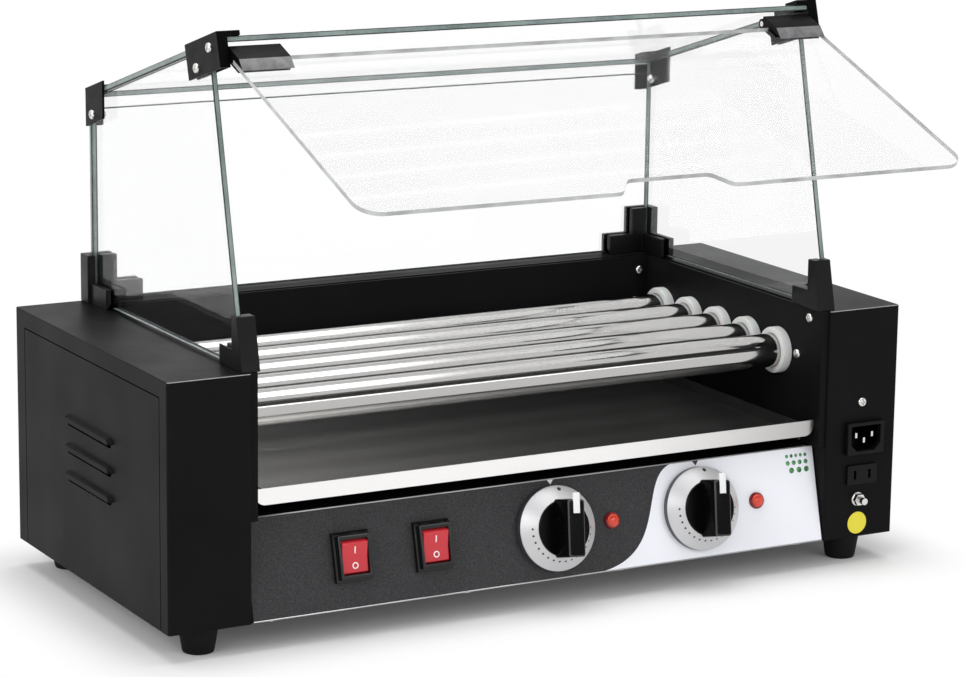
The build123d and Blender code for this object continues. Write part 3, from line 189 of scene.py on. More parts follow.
black_coat, shader = new_finish("black_powder_coat", (0.007, 0.007, 0.0075), 0.42)
shader.inputs["Specular IOR Level"].default_value = 0.045
mottle(shader, grain(shader, 14, detail=4), (0.0060, 0.0060, 0.0064), (0.0078, 0.0078, 0.0084))
uneven_gloss(shader, grain(shader, 22, detail=5), 0.36, 0.46)
relief(shader, grain(shader, 1500), 0.00004, 0.5)
coat(
    black_coat,
    "base_pan",
    "left_side_cover",
    "right_side_cover",
    "left_roller_wall",
    "right_roller_wall",
    "rear_inner_wall",
    "rear_panel",
    "control_panel",
)
# The grey finish on the housings' sloping upper front folds is a painted highlight.
fold_painted_highlight, shader = new_finish("fold_painted_highlight", (0.30, 0.30, 0.305), 0.34)
uneven_gloss(shader, grain(shader, 300, detail=4), 0.30, 0.40)
fold_round = 0.0007
leaning = 0.3
for side in ("left", "right"):
    node = f"{side}_end_housing"
    name = f"{side}_housing_shell"
    shell = eased(node, fold_round, name, "black_paint", black_coat, fold_painted_highlight)
    fold_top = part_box(node)[1].z - 2 * fold_round
    for face in shell.data.polygons:
        sloping = face.normal.y < -leaning and face.normal.z > leaning
        if sloping and face.center.z > fold_top:
            face.material_index = 1

# Rubber feet: four tapered feet of black rubber, screwed up into the base pan.
# Each is turned with a rounded lower rim and a shallow recess for its screw.


def turn_profile(mesh, profile, axis_point, axis, steps=48):
    """Spin a profile of (radius, height) points about an axis through a point."""
    axis = Vector(axis).normalized()
    out = axis.orthogonal().normalized()
    points = [Vector(axis_point) + out * radius + axis * height for radius, height in profile]
    verts = [mesh.verts.new(point) for point in points]
    edges = [mesh.edges.new(pair) for pair in zip(verts, verts[1:])]
    bmesh.ops.spin(
        mesh,
        geom=verts + edges,
        cent=axis_point,
        axis=axis,
        angle=2 * math.pi,
        steps=steps,
        use_merge=True,
    )


def close_mesh(mesh):
    """Merge doubled points and point every face outwards."""
    bmesh.ops.remove_doubles(mesh, verts=mesh.verts, dist=same_point)
    bmesh.ops.recalc_face_normals(mesh, faces=mesh.faces)


def islands(name):
    """The separate solids of a CAD node, each as a list of its points."""
    copy = bmesh.new()
    copy.from_mesh(nodes[name].data)
    bmesh.ops.remove_doubles(copy, verts=copy.verts, dist=same_point)
    found = []
    left = set(copy.verts)
    while left:
        group = [left.pop()]
        for vert in group:
            for edge in vert.link_edges:
                other = edge.other_vert(vert)
                if other in left:
                    left.remove(other)
                    group.append(other)
        found.append([vert.co.copy() for vert in group])
    copy.free()
    return found


def corners(points):
    """Lowest and highest corner of some points."""
    low = Vector([min(p[i] for p in points) for i in range(3)])
    high = Vector([max(p[i] for p in points) for i in range(3)])
    return low, high


rubber, shader = new_finish("foot_rubber", (0.006, 0.006, 0.006), 0.75)
shader.inputs["Specular IOR Level"].default_value = 0.15
mottle(shader, grain(shader, 60, detail=5), (0.005, 0.005, 0.005), (0.009, 0.009, 0.0085))
relief(shader, grain(shader, 900), 0.00008, 0.6)
round_share = 0.3
foot_rim = 0.0015
foot_recess = 0.007
foot_recess_depth = 0.004
foot_skin = 0.0001
feet_mesh = bmesh.new()
for points in islands("feet"):
    low, high = corners(points)
    middle = (low + high) / 2
    top_radius = (high.x - low.x) / 2
    floor_points = [p for p in points if p.z < low.z + foot_skin]
    floor_low, floor_high = corners(floor_points)
    bottom_radius = (floor_high.x - floor_low.x) / 2
    height = high.z - low.z
    turn_profile(
        feet_mesh,
        [
            (0, foot_recess_depth),
            (foot_recess, foot_recess_depth),
            (foot_recess, 0),
            (bottom_radius - foot_rim, 0),
            (bottom_radius - foot_rim * round_share, foot_rim * round_share),
            (bottom_radius, foot_rim),
            (top_radius, height),
            (0, height),
        ],
        (middle.x, middle.y, low.z),
        (0, 0, 1),
    )
close_mesh(feet_mesh)
feet = new_piece("rubber_feet", feet_mesh, "frame", "rubber", rubber)
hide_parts("feet")

# Control panel films: a grained dark polyester film on the left and a smooth white one on the
# right, glued to the sloping sheet. The dark one has a fine pressed grain.
dark_film, shader = new_finish("dark_grained_film", (0.033, 0.033, 0.035), 0.5)
shader.inputs["Specular IOR Level"].default_value = 0.2
film_grain = grain(shader, 1100, detail=3)
mottle(shader, film_grain, (0.024, 0.024, 0.026), (0.052, 0.052, 0.055), 0.38, 0.66)
relief(shader, film_grain, 0.00010, 0.7)
coat(dark_film, "dark_overlay")
light_film, shader = new_finish("white_film", (0.91, 0.925, 0.985), 0.3)
uneven_gloss(shader, grain(shader, 40, detail=4), 0.28, 0.32)
coat(light_film, "light_overlay")

# Marks on the films: a thin silver line along both long edges, which is a painted highlight on
# the sheet's bent edges, and printed marks, a small pointer over each dial and, in the far
# corner, a plain cluster of green discs. They are ink, a few hundredths of a millimetre thick.
panel_tilt = math.radians(14)
panel_up = Vector((0, math.sin(panel_tilt), math.cos(panel_tilt)))
panel_out = Vector((0, -math.cos(panel_tilt), math.sin(panel_tilt)))
panel_length = 0.0704
film_thickness = 0.00045
film_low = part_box("dark_overlay")[0]
panel_foot = Vector((0, film_low.y + film_thickness * math.cos(panel_tilt), film_low.z))


def panel_place(x, along, rise):
    """Matrix to a place on the sloping panel: right, up the slope and out of it."""
    point = panel_foot + Vector((x, 0, 0)) + panel_up * along + panel_out * rise
    turn = Matrix((Vector((1, 0, 0)), panel_up, panel_out)).transposed().to_4x4()
    return Matrix.Translation(point) @ turn


def add_prism(mesh, outline, low, high, place):
    """A straight prism over a flat outline, put in its place."""
    lower = [mesh.verts.new(place @ Vector((x, y, low))) for x, y in outline]
    upper = [mesh.verts.new(place @ Vector((x, y, high))) for x, y in outline]
    mesh.faces.new(upper)
    mesh.faces.new(lower[::-1])
    for i in range(len(outline)):
        k = (i + 1) % len(outline)
        mesh.faces.new((lower[i], lower[k], upper[k], upper[i]))


def ring_of_points(radius, count=24):
    """Points round a circle."""
    turns = [2 * math.pi * k / count for k in range(count)]
    return [(radius * math.cos(t), radius * math.sin(t)) for t in turns]


def rectangle(width, height):
    """Corners of a rectangle about its middle."""
    x, y = width / 2, height / 2
    return [(-x, -y), (x, -y), (x, y), (-x, y)]


white_ink, shader = new_finish("white_ink", (0.85, 0.85, 0.85), 0.5)
relief(shader, grain(shader, 2500), 0.00002, 0.4)
black_ink, shader = new_finish("black_ink", (0.02, 0.02, 0.02), 0.5)
relief(shader, grain(shader, 2500), 0.00002, 0.4)
# The silver ink along the films' long edges is a painted highlight, not print.
edge_highlight_ink, shader = new_finish("edge_highlight_ink", (0.55, 0.55, 0.56), 0.35, 0.6)
uneven_gloss(shader, grain(shader, 300), 0.3, 0.45)
green_ink, shader = new_finish("green_ink", (0.06, 0.27, 0.09), 0.5)
mottle(shader, grain(shader, 260), (0.03, 0.18, 0.05), (0.16, 0.42, 0.18), 0.4, 0.6)
ink = 0.00004
edge_line = 0.0009
edge_mesh = bmesh.new()
light_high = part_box("light_overlay")[1]
middle = (film_low.x + light_high.x) / 2
width = light_high.x - film_low.x
for along in (edge_line / 2, panel_length - edge_line / 2):
    place = panel_place(middle, along, film_thickness)
    add_prism(edge_mesh, rectangle(width, edge_line), 0, ink, place)
new_piece("film_edge_painted_highlights", edge_mesh, "frame", "light_film", edge_highlight_ink)
dial_boxes = {name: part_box(f"{name}_dial_skirt") for name in ("front", "rear")}
mark_half_width = 0.0026
mark_half_height = 0.0017
mark_along = 0.0679
mark_shift = 0.0008
dial_mark = [
    (mark_half_width, mark_half_height),
    (0, -mark_half_height),
    (-mark_half_width, mark_half_height),
]
for name, material in (("front", white_ink), ("rear", black_ink)):
    low, high = dial_boxes[name]
    pointer_mesh = bmesh.new()
    place = panel_place((low.x + high.x) / 2 + mark_shift, mark_along, film_thickness)
    add_prism(pointer_mesh, dial_mark, 0, ink, place)
    close_mesh(pointer_mesh)
    new_piece(f"{name}_dial_pointer", pointer_mesh, "frame", "light_film", material)
dots_mesh = bmesh.new()
middle_dot = 0.0017
dot_rows = ((0.0535, 3, 0.0021), (0.0590, 4, middle_dot), (0.0640, 5, 0.0013))
dots_right = 0.2215
dot_step = 0.0052
for along, count, radius in dot_rows:
    for k in range(count):
        x = dots_right - k * dot_step * (radius / middle_dot)
        place = panel_place(x, along, film_thickness)
        add_prism(dots_mesh, ring_of_points(radius), 0, ink, place)
new_piece("corner_dots", dots_mesh, "frame", "light_film", green_ink)

# Rocker switches: black moulded frames with a stepped rim and translucent red rockers that
# carry a white bar and a white ring. The frames snap into the panel's cutouts.
black_moulding, shader = new_finish("black_moulding", (0.004, 0.004, 0.004), 0.34)
shader.inputs["Specular IOR Level"].default_value = 0.14
uneven_gloss(shader, grain(shader, 60, detail=4), 0.28, 0.40)
relief(shader, grain(shader, 2200), 0.00002, 0.5)
rocker_red, shader = new_finish("rocker_red", (0.50, 0.022, 0.034), 0.18)
# The rockers' emission is a painted glow; the rockers hold no lamp.
shader.inputs["Emission Color"].default_value = (0.75, 0.05, 0.06, 1)
shader.inputs["Emission Strength"].default_value = 0.12
shader.inputs["Subsurface Weight"].default_value = 0.25
shader.inputs["Subsurface Scale"].default_value = 0.004
uneven_gloss(shader, grain(shader, 300), 0.14, 0.24)
bezel_moulding, shader = new_finish("bezel_moulding", (0.003, 0.003, 0.003), 0.13)
shader.inputs["Specular IOR Level"].default_value = 0.4
uneven_gloss(shader, grain(shader, 60, detail=4), 0.10, 0.18)
bezel_round = 0.0007
eased("switch_frames", bezel_round, "switch_bezels", "black_plastic", bezel_moulding)
rocker_turn = math.radians(4)
rocker_up = Vector((0, math.sin(rocker_turn), math.cos(rocker_turn)))
rocker_out = Vector((0, -math.cos(rocker_turn), math.sin(rocker_turn)))
rocker_pivot_rise = 0.0032
rocker_rise = 0.0056
rocker_valley = 0.0044
rocker_reach = 0.0115
rocker_round = 0.0004
mark_share = 0.47
bar_mark = (0.0009, 0.0048)
ring_mark = (0.0023, 0.0015)
ring_points = 32
control_along = 0.0355
face_lean = math.atan((rocker_rise - rocker_valley) / rocker_reach)
for number in (1, 2):
    eased(f"rocker_{number}", rocker_round, f"rocker_{number}_cap", "rocker_red", rocker_red)
    low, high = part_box(f"rocker_{number}")
    pivot = panel_place((low.x + high.x) / 2, control_along, rocker_pivot_rise).translation
    marks_mesh = bmesh.new()
    for way in (1, -1):
        face_up = rocker_up * math.cos(face_lean) + rocker_out * way * math.sin(face_lean)
        face_out = rocker_out * math.cos(face_lean) - rocker_up * way * math.sin(face_lean)
        centre = pivot + rocker_out * rocker_valley + face_up * way * rocker_reach * mark_share
        turn = Matrix((Vector((1, 0, 0)), face_up, face_out)).transposed().to_4x4()
        place = Matrix.Translation(centre) @ turn
        if way == 1:
            add_prism(marks_mesh, rectangle(*bar_mark), 0, ink, place)
        else:
            outer, inner = (ring_of_points(radius, ring_points) for radius in ring_mark)
            for i in range(ring_points):
                k = (i + 1) % ring_points
                add_prism(marks_mesh, [outer[i], outer[k], inner[k], inner[i]], 0, ink, place)
    close_mesh(marks_mesh)
    new_piece(f"rocker_{number}_marks", marks_mesh, f"rocker_{number}", "rocker_red", white_ink)

# Dials: a turned aluminium skirt that rises in a cone from a side wall with painted shade and
# carries printed dots, and a black moulded knob with a tapered bar whose upper edges carry a
# painted highlight. A white pointer is let into the bar's upper end, and the knob is pressed on a
# spindle.
skirt_radius = 0.030
skirt_low = 0.00125
skirt_edge = 0.00625
skirt_top = 0.01425
skirt_round = 0.0008
skirt_arris = 0.0003
skirt_bore = 0.00305
grip_radius = 0.020
grip_top = 0.01605
grip_arris = 0.0004
bar_top = 0.033
bar_sink = 0.0003
bar_foot = skirt_top + bar_sink
bar_half_length = 0.0204
bar_half_width = 0.0072
bar_corner = 0.0018
bar_lean = 0.00065
bar_shoulder = (0.0009, bar_lean * 0.95)
bar_edge = ((0.0004, 0.00015), (0.0001, 0.0005), (0, 0.001))
spindle_radius = 0.003
spindle_end = -0.0152
pointer_plate = (0.005, 0.0143)
pointer_reach = 0.0176
pointer_depth = 0.0012
pointer_proud = 0.0006
pointer_arris = 0.0002
fine_steps = 96
round_steps = 4
dot_points = 16
dot_sink = 0.0002
cone_lean = math.atan2(skirt_radius - grip_radius, skirt_top - skirt_edge)
wall_top = skirt_edge - skirt_round * math.tan(cone_lean / 2)
bar_turn = Matrix.Rotation(math.radians(-5), 4, "Z")
zero_dot = (84, 0.0015, 0.0274)
scale_start, scale_step, scale_count = 175, 12, 16
scale_dot = (0.0008, 0.0232)
skirt_dots = [zero_dot]
skirt_dots += [(scale_start + scale_step * k, *scale_dot) for k in range(scale_count)]
skirt_metal, shader = new_finish("turned_skirt", (0.60, 0.60, 0.61), 0.38, 0.25)
uneven_gloss(shader, grain(shader, 500, detail=3), 0.32, 0.40)
# The dark grey on the skirt's side wall is painted shade on the same aluminium.
skirt_wall_painted_shade, shader = new_finish("skirt_wall_painted_shade", (0.10, 0.10, 0.105), 0.40, 0.6)
uneven_gloss(shader, grain(shader, 500, detail=3), 0.36, 0.44)
knob_plastic, shader = new_finish("knob_plastic", (0.002, 0.002, 0.002), 0.26)
shader.inputs["Specular IOR Level"].default_value = 0.07
uneven_gloss(shader, grain(shader, 80, detail=4), 0.20, 0.32)
relief(shader, grain(shader, 1800), 0.000015, 0.4)
# The lighter grey on the bar's upper edges is a painted highlight on the black knob plastic.
knob_edge_painted_highlight, shader = new_finish("knob_edge_painted_highlight", (0.03, 0.03, 0.03), 0.24)
uneven_gloss(shader, grain(shader, 80, detail=4), 0.18, 0.30)


def bar_outline(half_length, half_width, corner, count=5):
    """Outline of an upright bar with rounded corners."""
    points = []
    for quarter, (right, up) in enumerate(((1, 1), (-1, 1), (-1, -1), (1, -1))):
        for k in range(count + 1):
            t = (quarter + k / count) * math.pi / 2
            x = right * (half_width - corner) + corner * math.cos(t)
            y = up * (half_length - corner) + corner * math.sin(t)
            points.append((x, y))
    return points


skirt_profile = [(skirt_bore, skirt_low), (skirt_radius - skirt_arris, skirt_low)]
skirt_profile.append((skirt_radius, skirt_low + skirt_arris))
for k in range(round_steps + 1):
    t = cone_lean * k / round_steps
    out = skirt_radius - skirt_round + skirt_round * math.cos(t)
    skirt_profile.append((out, wall_top + skirt_round * math.sin(t)))
skirt_profile += [(grip_radius, skirt_top), (skirt_bore, skirt_top), (skirt_bore, skirt_low)]
knob_profile = [
    (0, spindle_end),
    (spindle_radius, spindle_end),
    (spindle_radius, skirt_top),
    (grip_radius, skirt_top),
    (grip_radius, grip_top - grip_arris),
    (grip_radius - grip_arris, grip_top),
    (0, grip_top),
]
bar_sections = [(bar_foot, 0.0), (bar_top - bar_shoulder[0], bar_shoulder[1])]
bar_sections += [(bar_top - fall, bar_lean + inset) for fall, inset in bar_edge]
for name, (low, high) in dial_boxes.items():
    place = panel_place((low.x + high.x) / 2, control_along, 0)
    body = f"{name}_dial"
    skirt_mesh = bmesh.new()
    turn_profile(skirt_mesh, skirt_profile, (0, 0, 0), (0, 0, 1), fine_steps)
    close_mesh(skirt_mesh)
    for face in skirt_mesh.faces:
        centre = face.calc_center_median()
        if centre.z < wall_top and centre.to_2d().length > skirt_radius - skirt_round:
            face.material_index = 1
    bmesh.ops.transform(skirt_mesh, matrix=place, verts=skirt_mesh.verts)
    skirt = new_piece(
        f"{name}_skirt_disc", skirt_mesh, body, "skirt_silver", skirt_metal, skirt_wall_painted_shade
    )
    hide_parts(f"{name}_dial_skirt")

    knob_mesh = bmesh.new()
    turn_profile(knob_mesh, knob_profile, (0, 0, 0), (0, 0, 1), fine_steps)
    close_mesh(knob_mesh)
    rings = []
    for height, inset in bar_sections:
        outline = bar_outline(bar_half_length - inset, bar_half_width - inset, bar_corner)
        points = [bar_turn @ Vector((x, y, height)) for x, y in outline]
        rings.append([knob_mesh.verts.new(point) for point in points])
    for number, (lower, upper) in enumerate(zip(rings, rings[1:])):
        for i in range(len(lower)):
            k = (i + 1) % len(lower)
            face = knob_mesh.faces.new((lower[i], lower[k], upper[k], upper[i]))
            face.material_index = 1 if number > 0 else 0
    knob_mesh.faces.new(rings[-1])
    knob_mesh.faces.new(rings[0][::-1])
    bmesh.ops.transform(knob_mesh, matrix=place, verts=knob_mesh.verts)
    knob = new_piece(
        f"{name}_knob_grip", knob_mesh, body, "black_plastic", knob_plastic, knob_edge_painted_highlight
    )
    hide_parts(f"{name}_knob")

    inlay_mesh = bmesh.new()
    inlay_place = place @ bar_turn @ Matrix.Translation((0, pointer_reach, bar_top))
    add_prism(inlay_mesh, rectangle(*pointer_plate), -pointer_depth, pointer_proud, inlay_place)
    close_mesh(inlay_mesh)
    bmesh.ops.bevel(
        inlay_mesh,
        geom=inlay_mesh.edges[:],
        offset=pointer_arris,
        offset_type="OFFSET",
        segments=2,
        profile=0.5,
        affect="EDGES",
    )
    new_piece(f"{name}_knob_inlay", inlay_mesh, body, "light_film", white_ink)

    dots_mesh = bmesh.new()
    for degrees, radius, circle in skirt_dots:
        turn = math.radians(degrees)
        rise = skirt_edge + (skirt_radius - circle) / math.tan(cone_lean)
        centre = Vector((circle * math.cos(turn), circle * math.sin(turn), rise))
        tilt = Matrix.Rotation(turn, 4, "Z") @ Matrix.Rotation(math.pi / 2 - cone_lean, 4, "Y")
        dot_place = place @ Matrix.Translation(centre) @ tilt
        add_prism(dots_mesh, ring_of_points(radius, dot_points), -dot_sink, ink, dot_place)
    close_mesh(dots_mesh)
    new_piece(f"{name}_skirt_dots", dots_mesh, body, "black_plastic", black_ink)

# Indicator lamps: domed red lenses, moulded with a collar and snapped in from the front.
# The dome is clear red plastic over a lit core, and the darker red on the collar round it is
# painted shade.
lamp_red, shader = new_finish("lamp_lens", (0.62, 0.05, 0.025), 0.12)
shader.inputs["Emission Color"].default_value = (1.0, 0.06, 0.02, 1)
shader.inputs["Emission Strength"].default_value = 0.08
shader.inputs["Subsurface Weight"].default_value = 0.3
shader.inputs["Subsurface Scale"].default_value = 0.003
mottle(shader, grain(shader, 420), (0.54, 0.04, 0.02), (0.70, 0.07, 0.035))
# The collar's darker red is painted shade at the rim of the dome.
collar_painted_shade, shader = new_finish("collar_painted_shade", (0.20, 0.008, 0.01), 0.10)
uneven_gloss(shader, grain(shader, 420), 0.08, 0.14)
lamp_radius = 0.006
lamp_collar_top = 0.0022
lamp_rise = 0.004
lamp_tail = -0.016
lamp_body_radius = 0.005
collar_steps = ((0, 0.0012), (0.0004, 0.0019), (0.0013, 0.0023), (0.0016, 0.0029))
dome_steps = ((0.0026, 0.0004), (0.0042, 0.0001))
lamp_profile = [(0, lamp_tail), (lamp_body_radius, lamp_tail), (lamp_body_radius, 0)]
lamp_profile.append((lamp_radius, 0))
lamp_profile += [(lamp_radius - inset, height) for inset, height in collar_steps]
lamp_profile += [(lamp_radius - inset, lamp_rise - fall) for inset, fall in dome_steps]
lamp_profile.append((0, lamp_rise))


def join_part(mesh, part, place):
    """Move a part to its place and add it to a mesh."""
    bmesh.ops.transform(part, matrix=place, verts=part.verts)
    held = bpy.data.meshes.new("held")
    part.to_mesh(held)
    part.free()
    mesh.from_mesh(held)
    bpy.data.meshes.remove(held)


lamp_mesh = bmesh.new()
for points in islands("indicator_lamps"):
    low, high = corners(points)
    place = panel_place((low.x + high.x) / 2, control_along, film_thickness)
    lens = bmesh.new()
    turn_profile(lens, lamp_profile, (0, 0, 0), (0, 0, 1))
    close_mesh(lens)
    for face in lens.faces:
        if face.calc_center_median().z < lamp_collar_top:
            face.material_index = 1
    join_part(lamp_mesh, lens, place)
lamps = new_piece("lamp_lenses", lamp_mesh, "frame", "lamp_red", lamp_red, collar_painted_shade)
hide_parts("indicator_lamps")

# Mains fittings on the right housing: a moulded three-pin inlet, a two-slot outlet, an earth
# stud with washer and nut, and a bare yellow disc stuck on below them.
eased("power_inlet", 0.0006, "mains_inlet_moulding", "black_plastic", black_moulding)
eased("aux_outlet", 0.0004, "outlet_moulding", "black_plastic", black_moulding)
nickel, shader = new_finish("bright_nickel", (0.72, 0.71, 0.69), 0.2, 1.0)
uneven_gloss(shader, grain(shader, 400, detail=4), 0.14, 0.28)
relief(shader, grain(shader, 1500), 0.00001, 0.4)
eased("earth_stud", 0.0003, "earth_stud_bolt", "bright_screw", nickel)
eased("inlet_pins", 0.0004, "inlet_blades", "pin_metal", nickel, shortest=0.0015)
coat(black_moulding, "terminal_block", "thermostats")
disc_yellow, shader = new_finish("yellow_disc", (0.82, 0.72, 0.04), 0.4)
uneven_gloss(shader, grain(shader, 90, detail=3), 0.34, 0.46)
housing_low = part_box("right_end_housing")[0]
disc_x = 0.259
disc_height = 0.0104
disc_centre = Vector((disc_x, housing_low.y, housing_low.z + disc_height))
disc_radius = 0.00825
disc_edge = 0.0008
disc_thickness = 0.00012
disc_crown = disc_thickness * 1.15
disc_mesh = bmesh.new()
turn_profile(
    disc_mesh,
    [
        (0, 0),
        (disc_radius, 0),
        (disc_radius, disc_thickness),
        (disc_radius - disc_edge, disc_crown),
        (0, disc_crown),
    ],
    disc_centre,
    (0, -1, 0),
)
close_mesh(disc_mesh)
new_piece("yellow_earth_disc", disc_mesh, "frame", "light_film", disc_yellow)

# Drive and heaters: oiled steel chain and sprockets, a plated gear motor on a zinc plated
# bracket, and heater rods with a heat-tinted steel sheath. They sit inside the housings.
oiled_steel, shader = new_finish("oiled_steel", (0.22, 0.22, 0.23), 0.38, 1.0)
mottle(shader, grain(shader, 120, detail=4), (0.16, 0.16, 0.165), (0.28, 0.275, 0.27))
uneven_gloss(shader, grain(shader, 200, detail=4), 0.28, 0.5)
roller_numbers = range(1, 6)
sprockets = [f"roller_sprocket_{k}" for k in roller_numbers]
coat(oiled_steel, "drive_chain", "motor_sprocket", *sprockets)
zinc, shader = new_finish("zinc_plate", (0.52, 0.53, 0.54), 0.36, 1.0)
mottle(shader, grain(shader, 70, detail=6), (0.46, 0.47, 0.49), (0.60, 0.60, 0.59))
uneven_gloss(shader, grain(shader, 90, detail=5), 0.3, 0.45)
coat(zinc, "heater_brackets", "motor_bracket", "gear_motor", "tray_runners")
sheath, shader = new_finish("heater_sheath", (0.30, 0.27, 0.24), 0.42, 1.0)
mottle(shader, grain(shader, 30, detail=5), (0.20, 0.18, 0.17), (0.42, 0.37, 0.31))
coat(sheath, "heater_rods")

# Roller tubes: five drawn stainless tubes, polished on a lathe, so that fine rings run round
# them. Their ends run in the bushes and each carries a sprocket on the left.
roller_steel, shader = new_finish("polished_stainless", (0.50, 0.495, 0.485), 0.11, 1.0)
uneven_gloss(shader, grain(shader, 400, (1, 0.05, 0.05), detail=2), 0.10, 0.12)
tube_edge = 0.0003
tube_wall = 0.001
for number in roller_numbers:
    low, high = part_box(f"roller_tube_{number}")
    radius = (high.z - low.z) / 2
    length = high.x - low.x
    start = Vector((low.x, (low.y + high.y) / 2, (low.z + high.z) / 2))
    tube_mesh = bmesh.new()
    turn_profile(
        tube_mesh,
        [
            (radius - tube_wall, 0),
            (radius - tube_edge, 0),
            (radius, tube_edge),
            (radius, length - tube_edge),
            (radius - tube_edge, length),
            (radius - tube_wall, length),
            (radius - tube_wall, 0),
        ],
        start,
        (1, 0, 0),
        fine_steps,
    )
    close_mesh(tube_mesh)
    body = f"roller_{number}"
    tube = new_piece(f"roller_{number}_tube", tube_mesh, body, "stainless", roller_steel)
    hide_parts(f"roller_tube_{number}")

# Roller bushes: turned white PTFE rings with a rounded collar and a neck that is pushed into
# the wall. The plastic is waxy and a little translucent.
ptfe, shader = new_finish("white_ptfe", (0.72, 0.73, 0.72), 0.42)
mottle(shader, grain(shader, 50, detail=3), (0.66, 0.67, 0.66), (0.77, 0.775, 0.77))
shader.inputs["Subsurface Weight"].default_value = 0.2
shader.inputs["Subsurface Scale"].default_value = 0.003
relief(shader, grain(shader, 1200, (1, 0.05, 0.05)), 0.00001, 0.4)
bush_collar = 0.007
bush_neck = 0.0032
bush_round = 0.0012
bush_arris = 0.0006
bush_steps = 64
bush_depth = bush_neck + bush_collar
bush_neck_radius = 0.0145
bush_bore = 0.01255
for end, way in (("left", 1), ("right", -1)):
    bush_mesh = bmesh.new()
    wall_low, wall_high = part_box(f"{end}_roller_bushes")
    wall_x = wall_low.x if way > 0 else wall_high.x
    for points in islands(f"{end}_roller_bushes"):
        low, high = corners(points)
        radius = (high.z - low.z) / 2
        start = Vector((wall_x, (low.y + high.y) / 2, (low.z + high.z) / 2))
        turn_profile(
            bush_mesh,
            [
                (bush_bore, 0),
                (bush_neck_radius, 0),
                (bush_neck_radius, bush_neck),
                (radius, bush_neck),
                (radius, bush_depth - bush_round),
                (radius - bush_round * round_share, bush_depth - bush_round * round_share),
                (radius - bush_round, bush_depth),
                (bush_bore + bush_arris, bush_depth),
                (bush_bore, bush_depth - bush_arris),
                (bush_bore, 0),
            ],
            start,
            (way, 0, 0),
            bush_steps,
        )
    close_mesh(bush_mesh)
    bushes = new_piece(f"{end}_ptfe_bushes", bush_mesh, "frame", "bush_white", ptfe)
    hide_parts(f"{end}_roller_bushes")

# Drip tray: pressed stainless pan with a tall front lip, brushed along its length. Its floor is
# painted light on the left and dark on the right, as painted shade and reflection, and the lip in
# front is a lighter painted highlight that darkens to the right. It slides on two angle rails.
steel_tint = (1, 0.99, 0.975)


def painted_shade_across(shader, *stops):
    """Painted shade: grey that changes from left to right, given as places in metres and values.
    """
    tree = shader.id_data
    first, last = stops[0][0], stops[-1][0]
    place = tree.nodes.new("ShaderNodeTexCoord")
    split = tree.nodes.new("ShaderNodeSeparateXYZ")
    span = tree.nodes.new("ShaderNodeMapRange")
    span.inputs["From Min"].default_value = first
    span.inputs["From Max"].default_value = last
    ramp = tree.nodes.new("ShaderNodeValToRGB")
    ramp.color_ramp.interpolation = "B_SPLINE"
    elements = ramp.color_ramp.elements
    for k, (x, value) in enumerate(stops[:1] + stops[-1:] + stops[1:-1]):
        share = (x - first) / (last - first)
        element = elements[k] if k < 2 else elements.new(share)
        element.color = (*(value * tint for tint in steel_tint), 1)
    tree.links.new(place.outputs["Object"], split.inputs["Vector"])
    tree.links.new(split.outputs["X"], span.inputs["Value"])
    tree.links.new(span.outputs["Result"], ramp.inputs["Fac"])
    tree.links.new(ramp.outputs["Color"], shader.inputs["Base Color"])


tray_steel, shader = new_finish("brushed_stainless", (0.52, 0.515, 0.505), 0.36, 1.0)
# The floor's grey, light on the left and dark on the right, is painted shade and reflection.
painted_shade_across(shader, (-0.24, 0.98), (-0.12, 0.62), (0.02, 0.24), (0.25, 0.18))
uneven_gloss(shader, grain(shader, 900, (0.02, 1, 1), detail=3), 0.34, 0.38)
# The lip is a lighter copy of the tray steel, a painted highlight, with painted shade towards the
# right.
lip_painted_highlight_steel, shader = new_finish("lip_steel_painted_highlight", (0.90, 0.895, 0.885), 0.3, 1.0)
painted_shade_across(shader, (-0.25, 0.96), (0.05, 0.94), (0.15, 0.72), (0.25, 0.34))
uneven_gloss(shader, grain(shader, 900, (0.02, 1, 1), detail=3), 0.27, 0.33)
tray_round = 0.0004
tray = eased("drip_tray", tray_round, "drip_tray_pan", "stainless", tray_steel, lip_painted_highlight_steel)
lip_depth = 0.004
tray_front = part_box("drip_tray")[0].y
for face in tray.data.polygons:
    if face.normal.y < -leaning and face.center.y < tray_front + lip_depth:
        face.material_index = 1

# Hood glass: two side panes, a rear pane and a sloping roof pane of 4 mm float glass with
# ground edges, which look teal because the light runs a long way through the sheet.
broadside = 0.95
edgewise = 0.1


def pane(node, normal, edge, name, slot, clear, rim, arris):
    """A copy of a flat pane with eased edges, its rim and its arrises in their own finishes."""
    piece = eased(node, edge, name, slot, clear, rim, arris)
    for face in piece.data.polygons:
        facing = abs(face.normal.dot(normal))
        face.material_index = 0 if facing > broadside else 1 if facing < edgewise else 2
    return piece


float_glass, shader = new_finish("float_glass", (0.93, 0.96, 0.95), 0.0)
shader.inputs["Transmission Weight"].default_value = 1.0
shader.inputs["IOR"].default_value = 1.45
shader.inputs["Alpha"].default_value = 0.1
uneven_gloss(shader, grain(shader, 6, detail=3), 0.0, 0.012)
glass_rim, shader = new_finish("ground_glass_edge", (0.20, 0.25, 0.24), 0.25)
mottle(shader, grain(shader, 40, detail=3), (0.15, 0.20, 0.19), (0.26, 0.32, 0.31))
uneven_gloss(shader, grain(shader, 500), 0.16, 0.34)
glass_arris, shader = new_finish("glass_arris", (0.014, 0.02, 0.019), 0.3)
mottle(shader, grain(shader, 60, detail=3), (0.010, 0.016, 0.015), (0.022, 0.03, 0.028))
roof_slope = math.radians(16.5)
pane_edge = 0.0007
sideways = Vector((1, 0, 0))
backwards = Vector((0, 1, 0))
roof_up = Vector((0, math.sin(roof_slope), math.cos(roof_slope)))
glass_finishes = (float_glass, glass_rim, glass_arris)
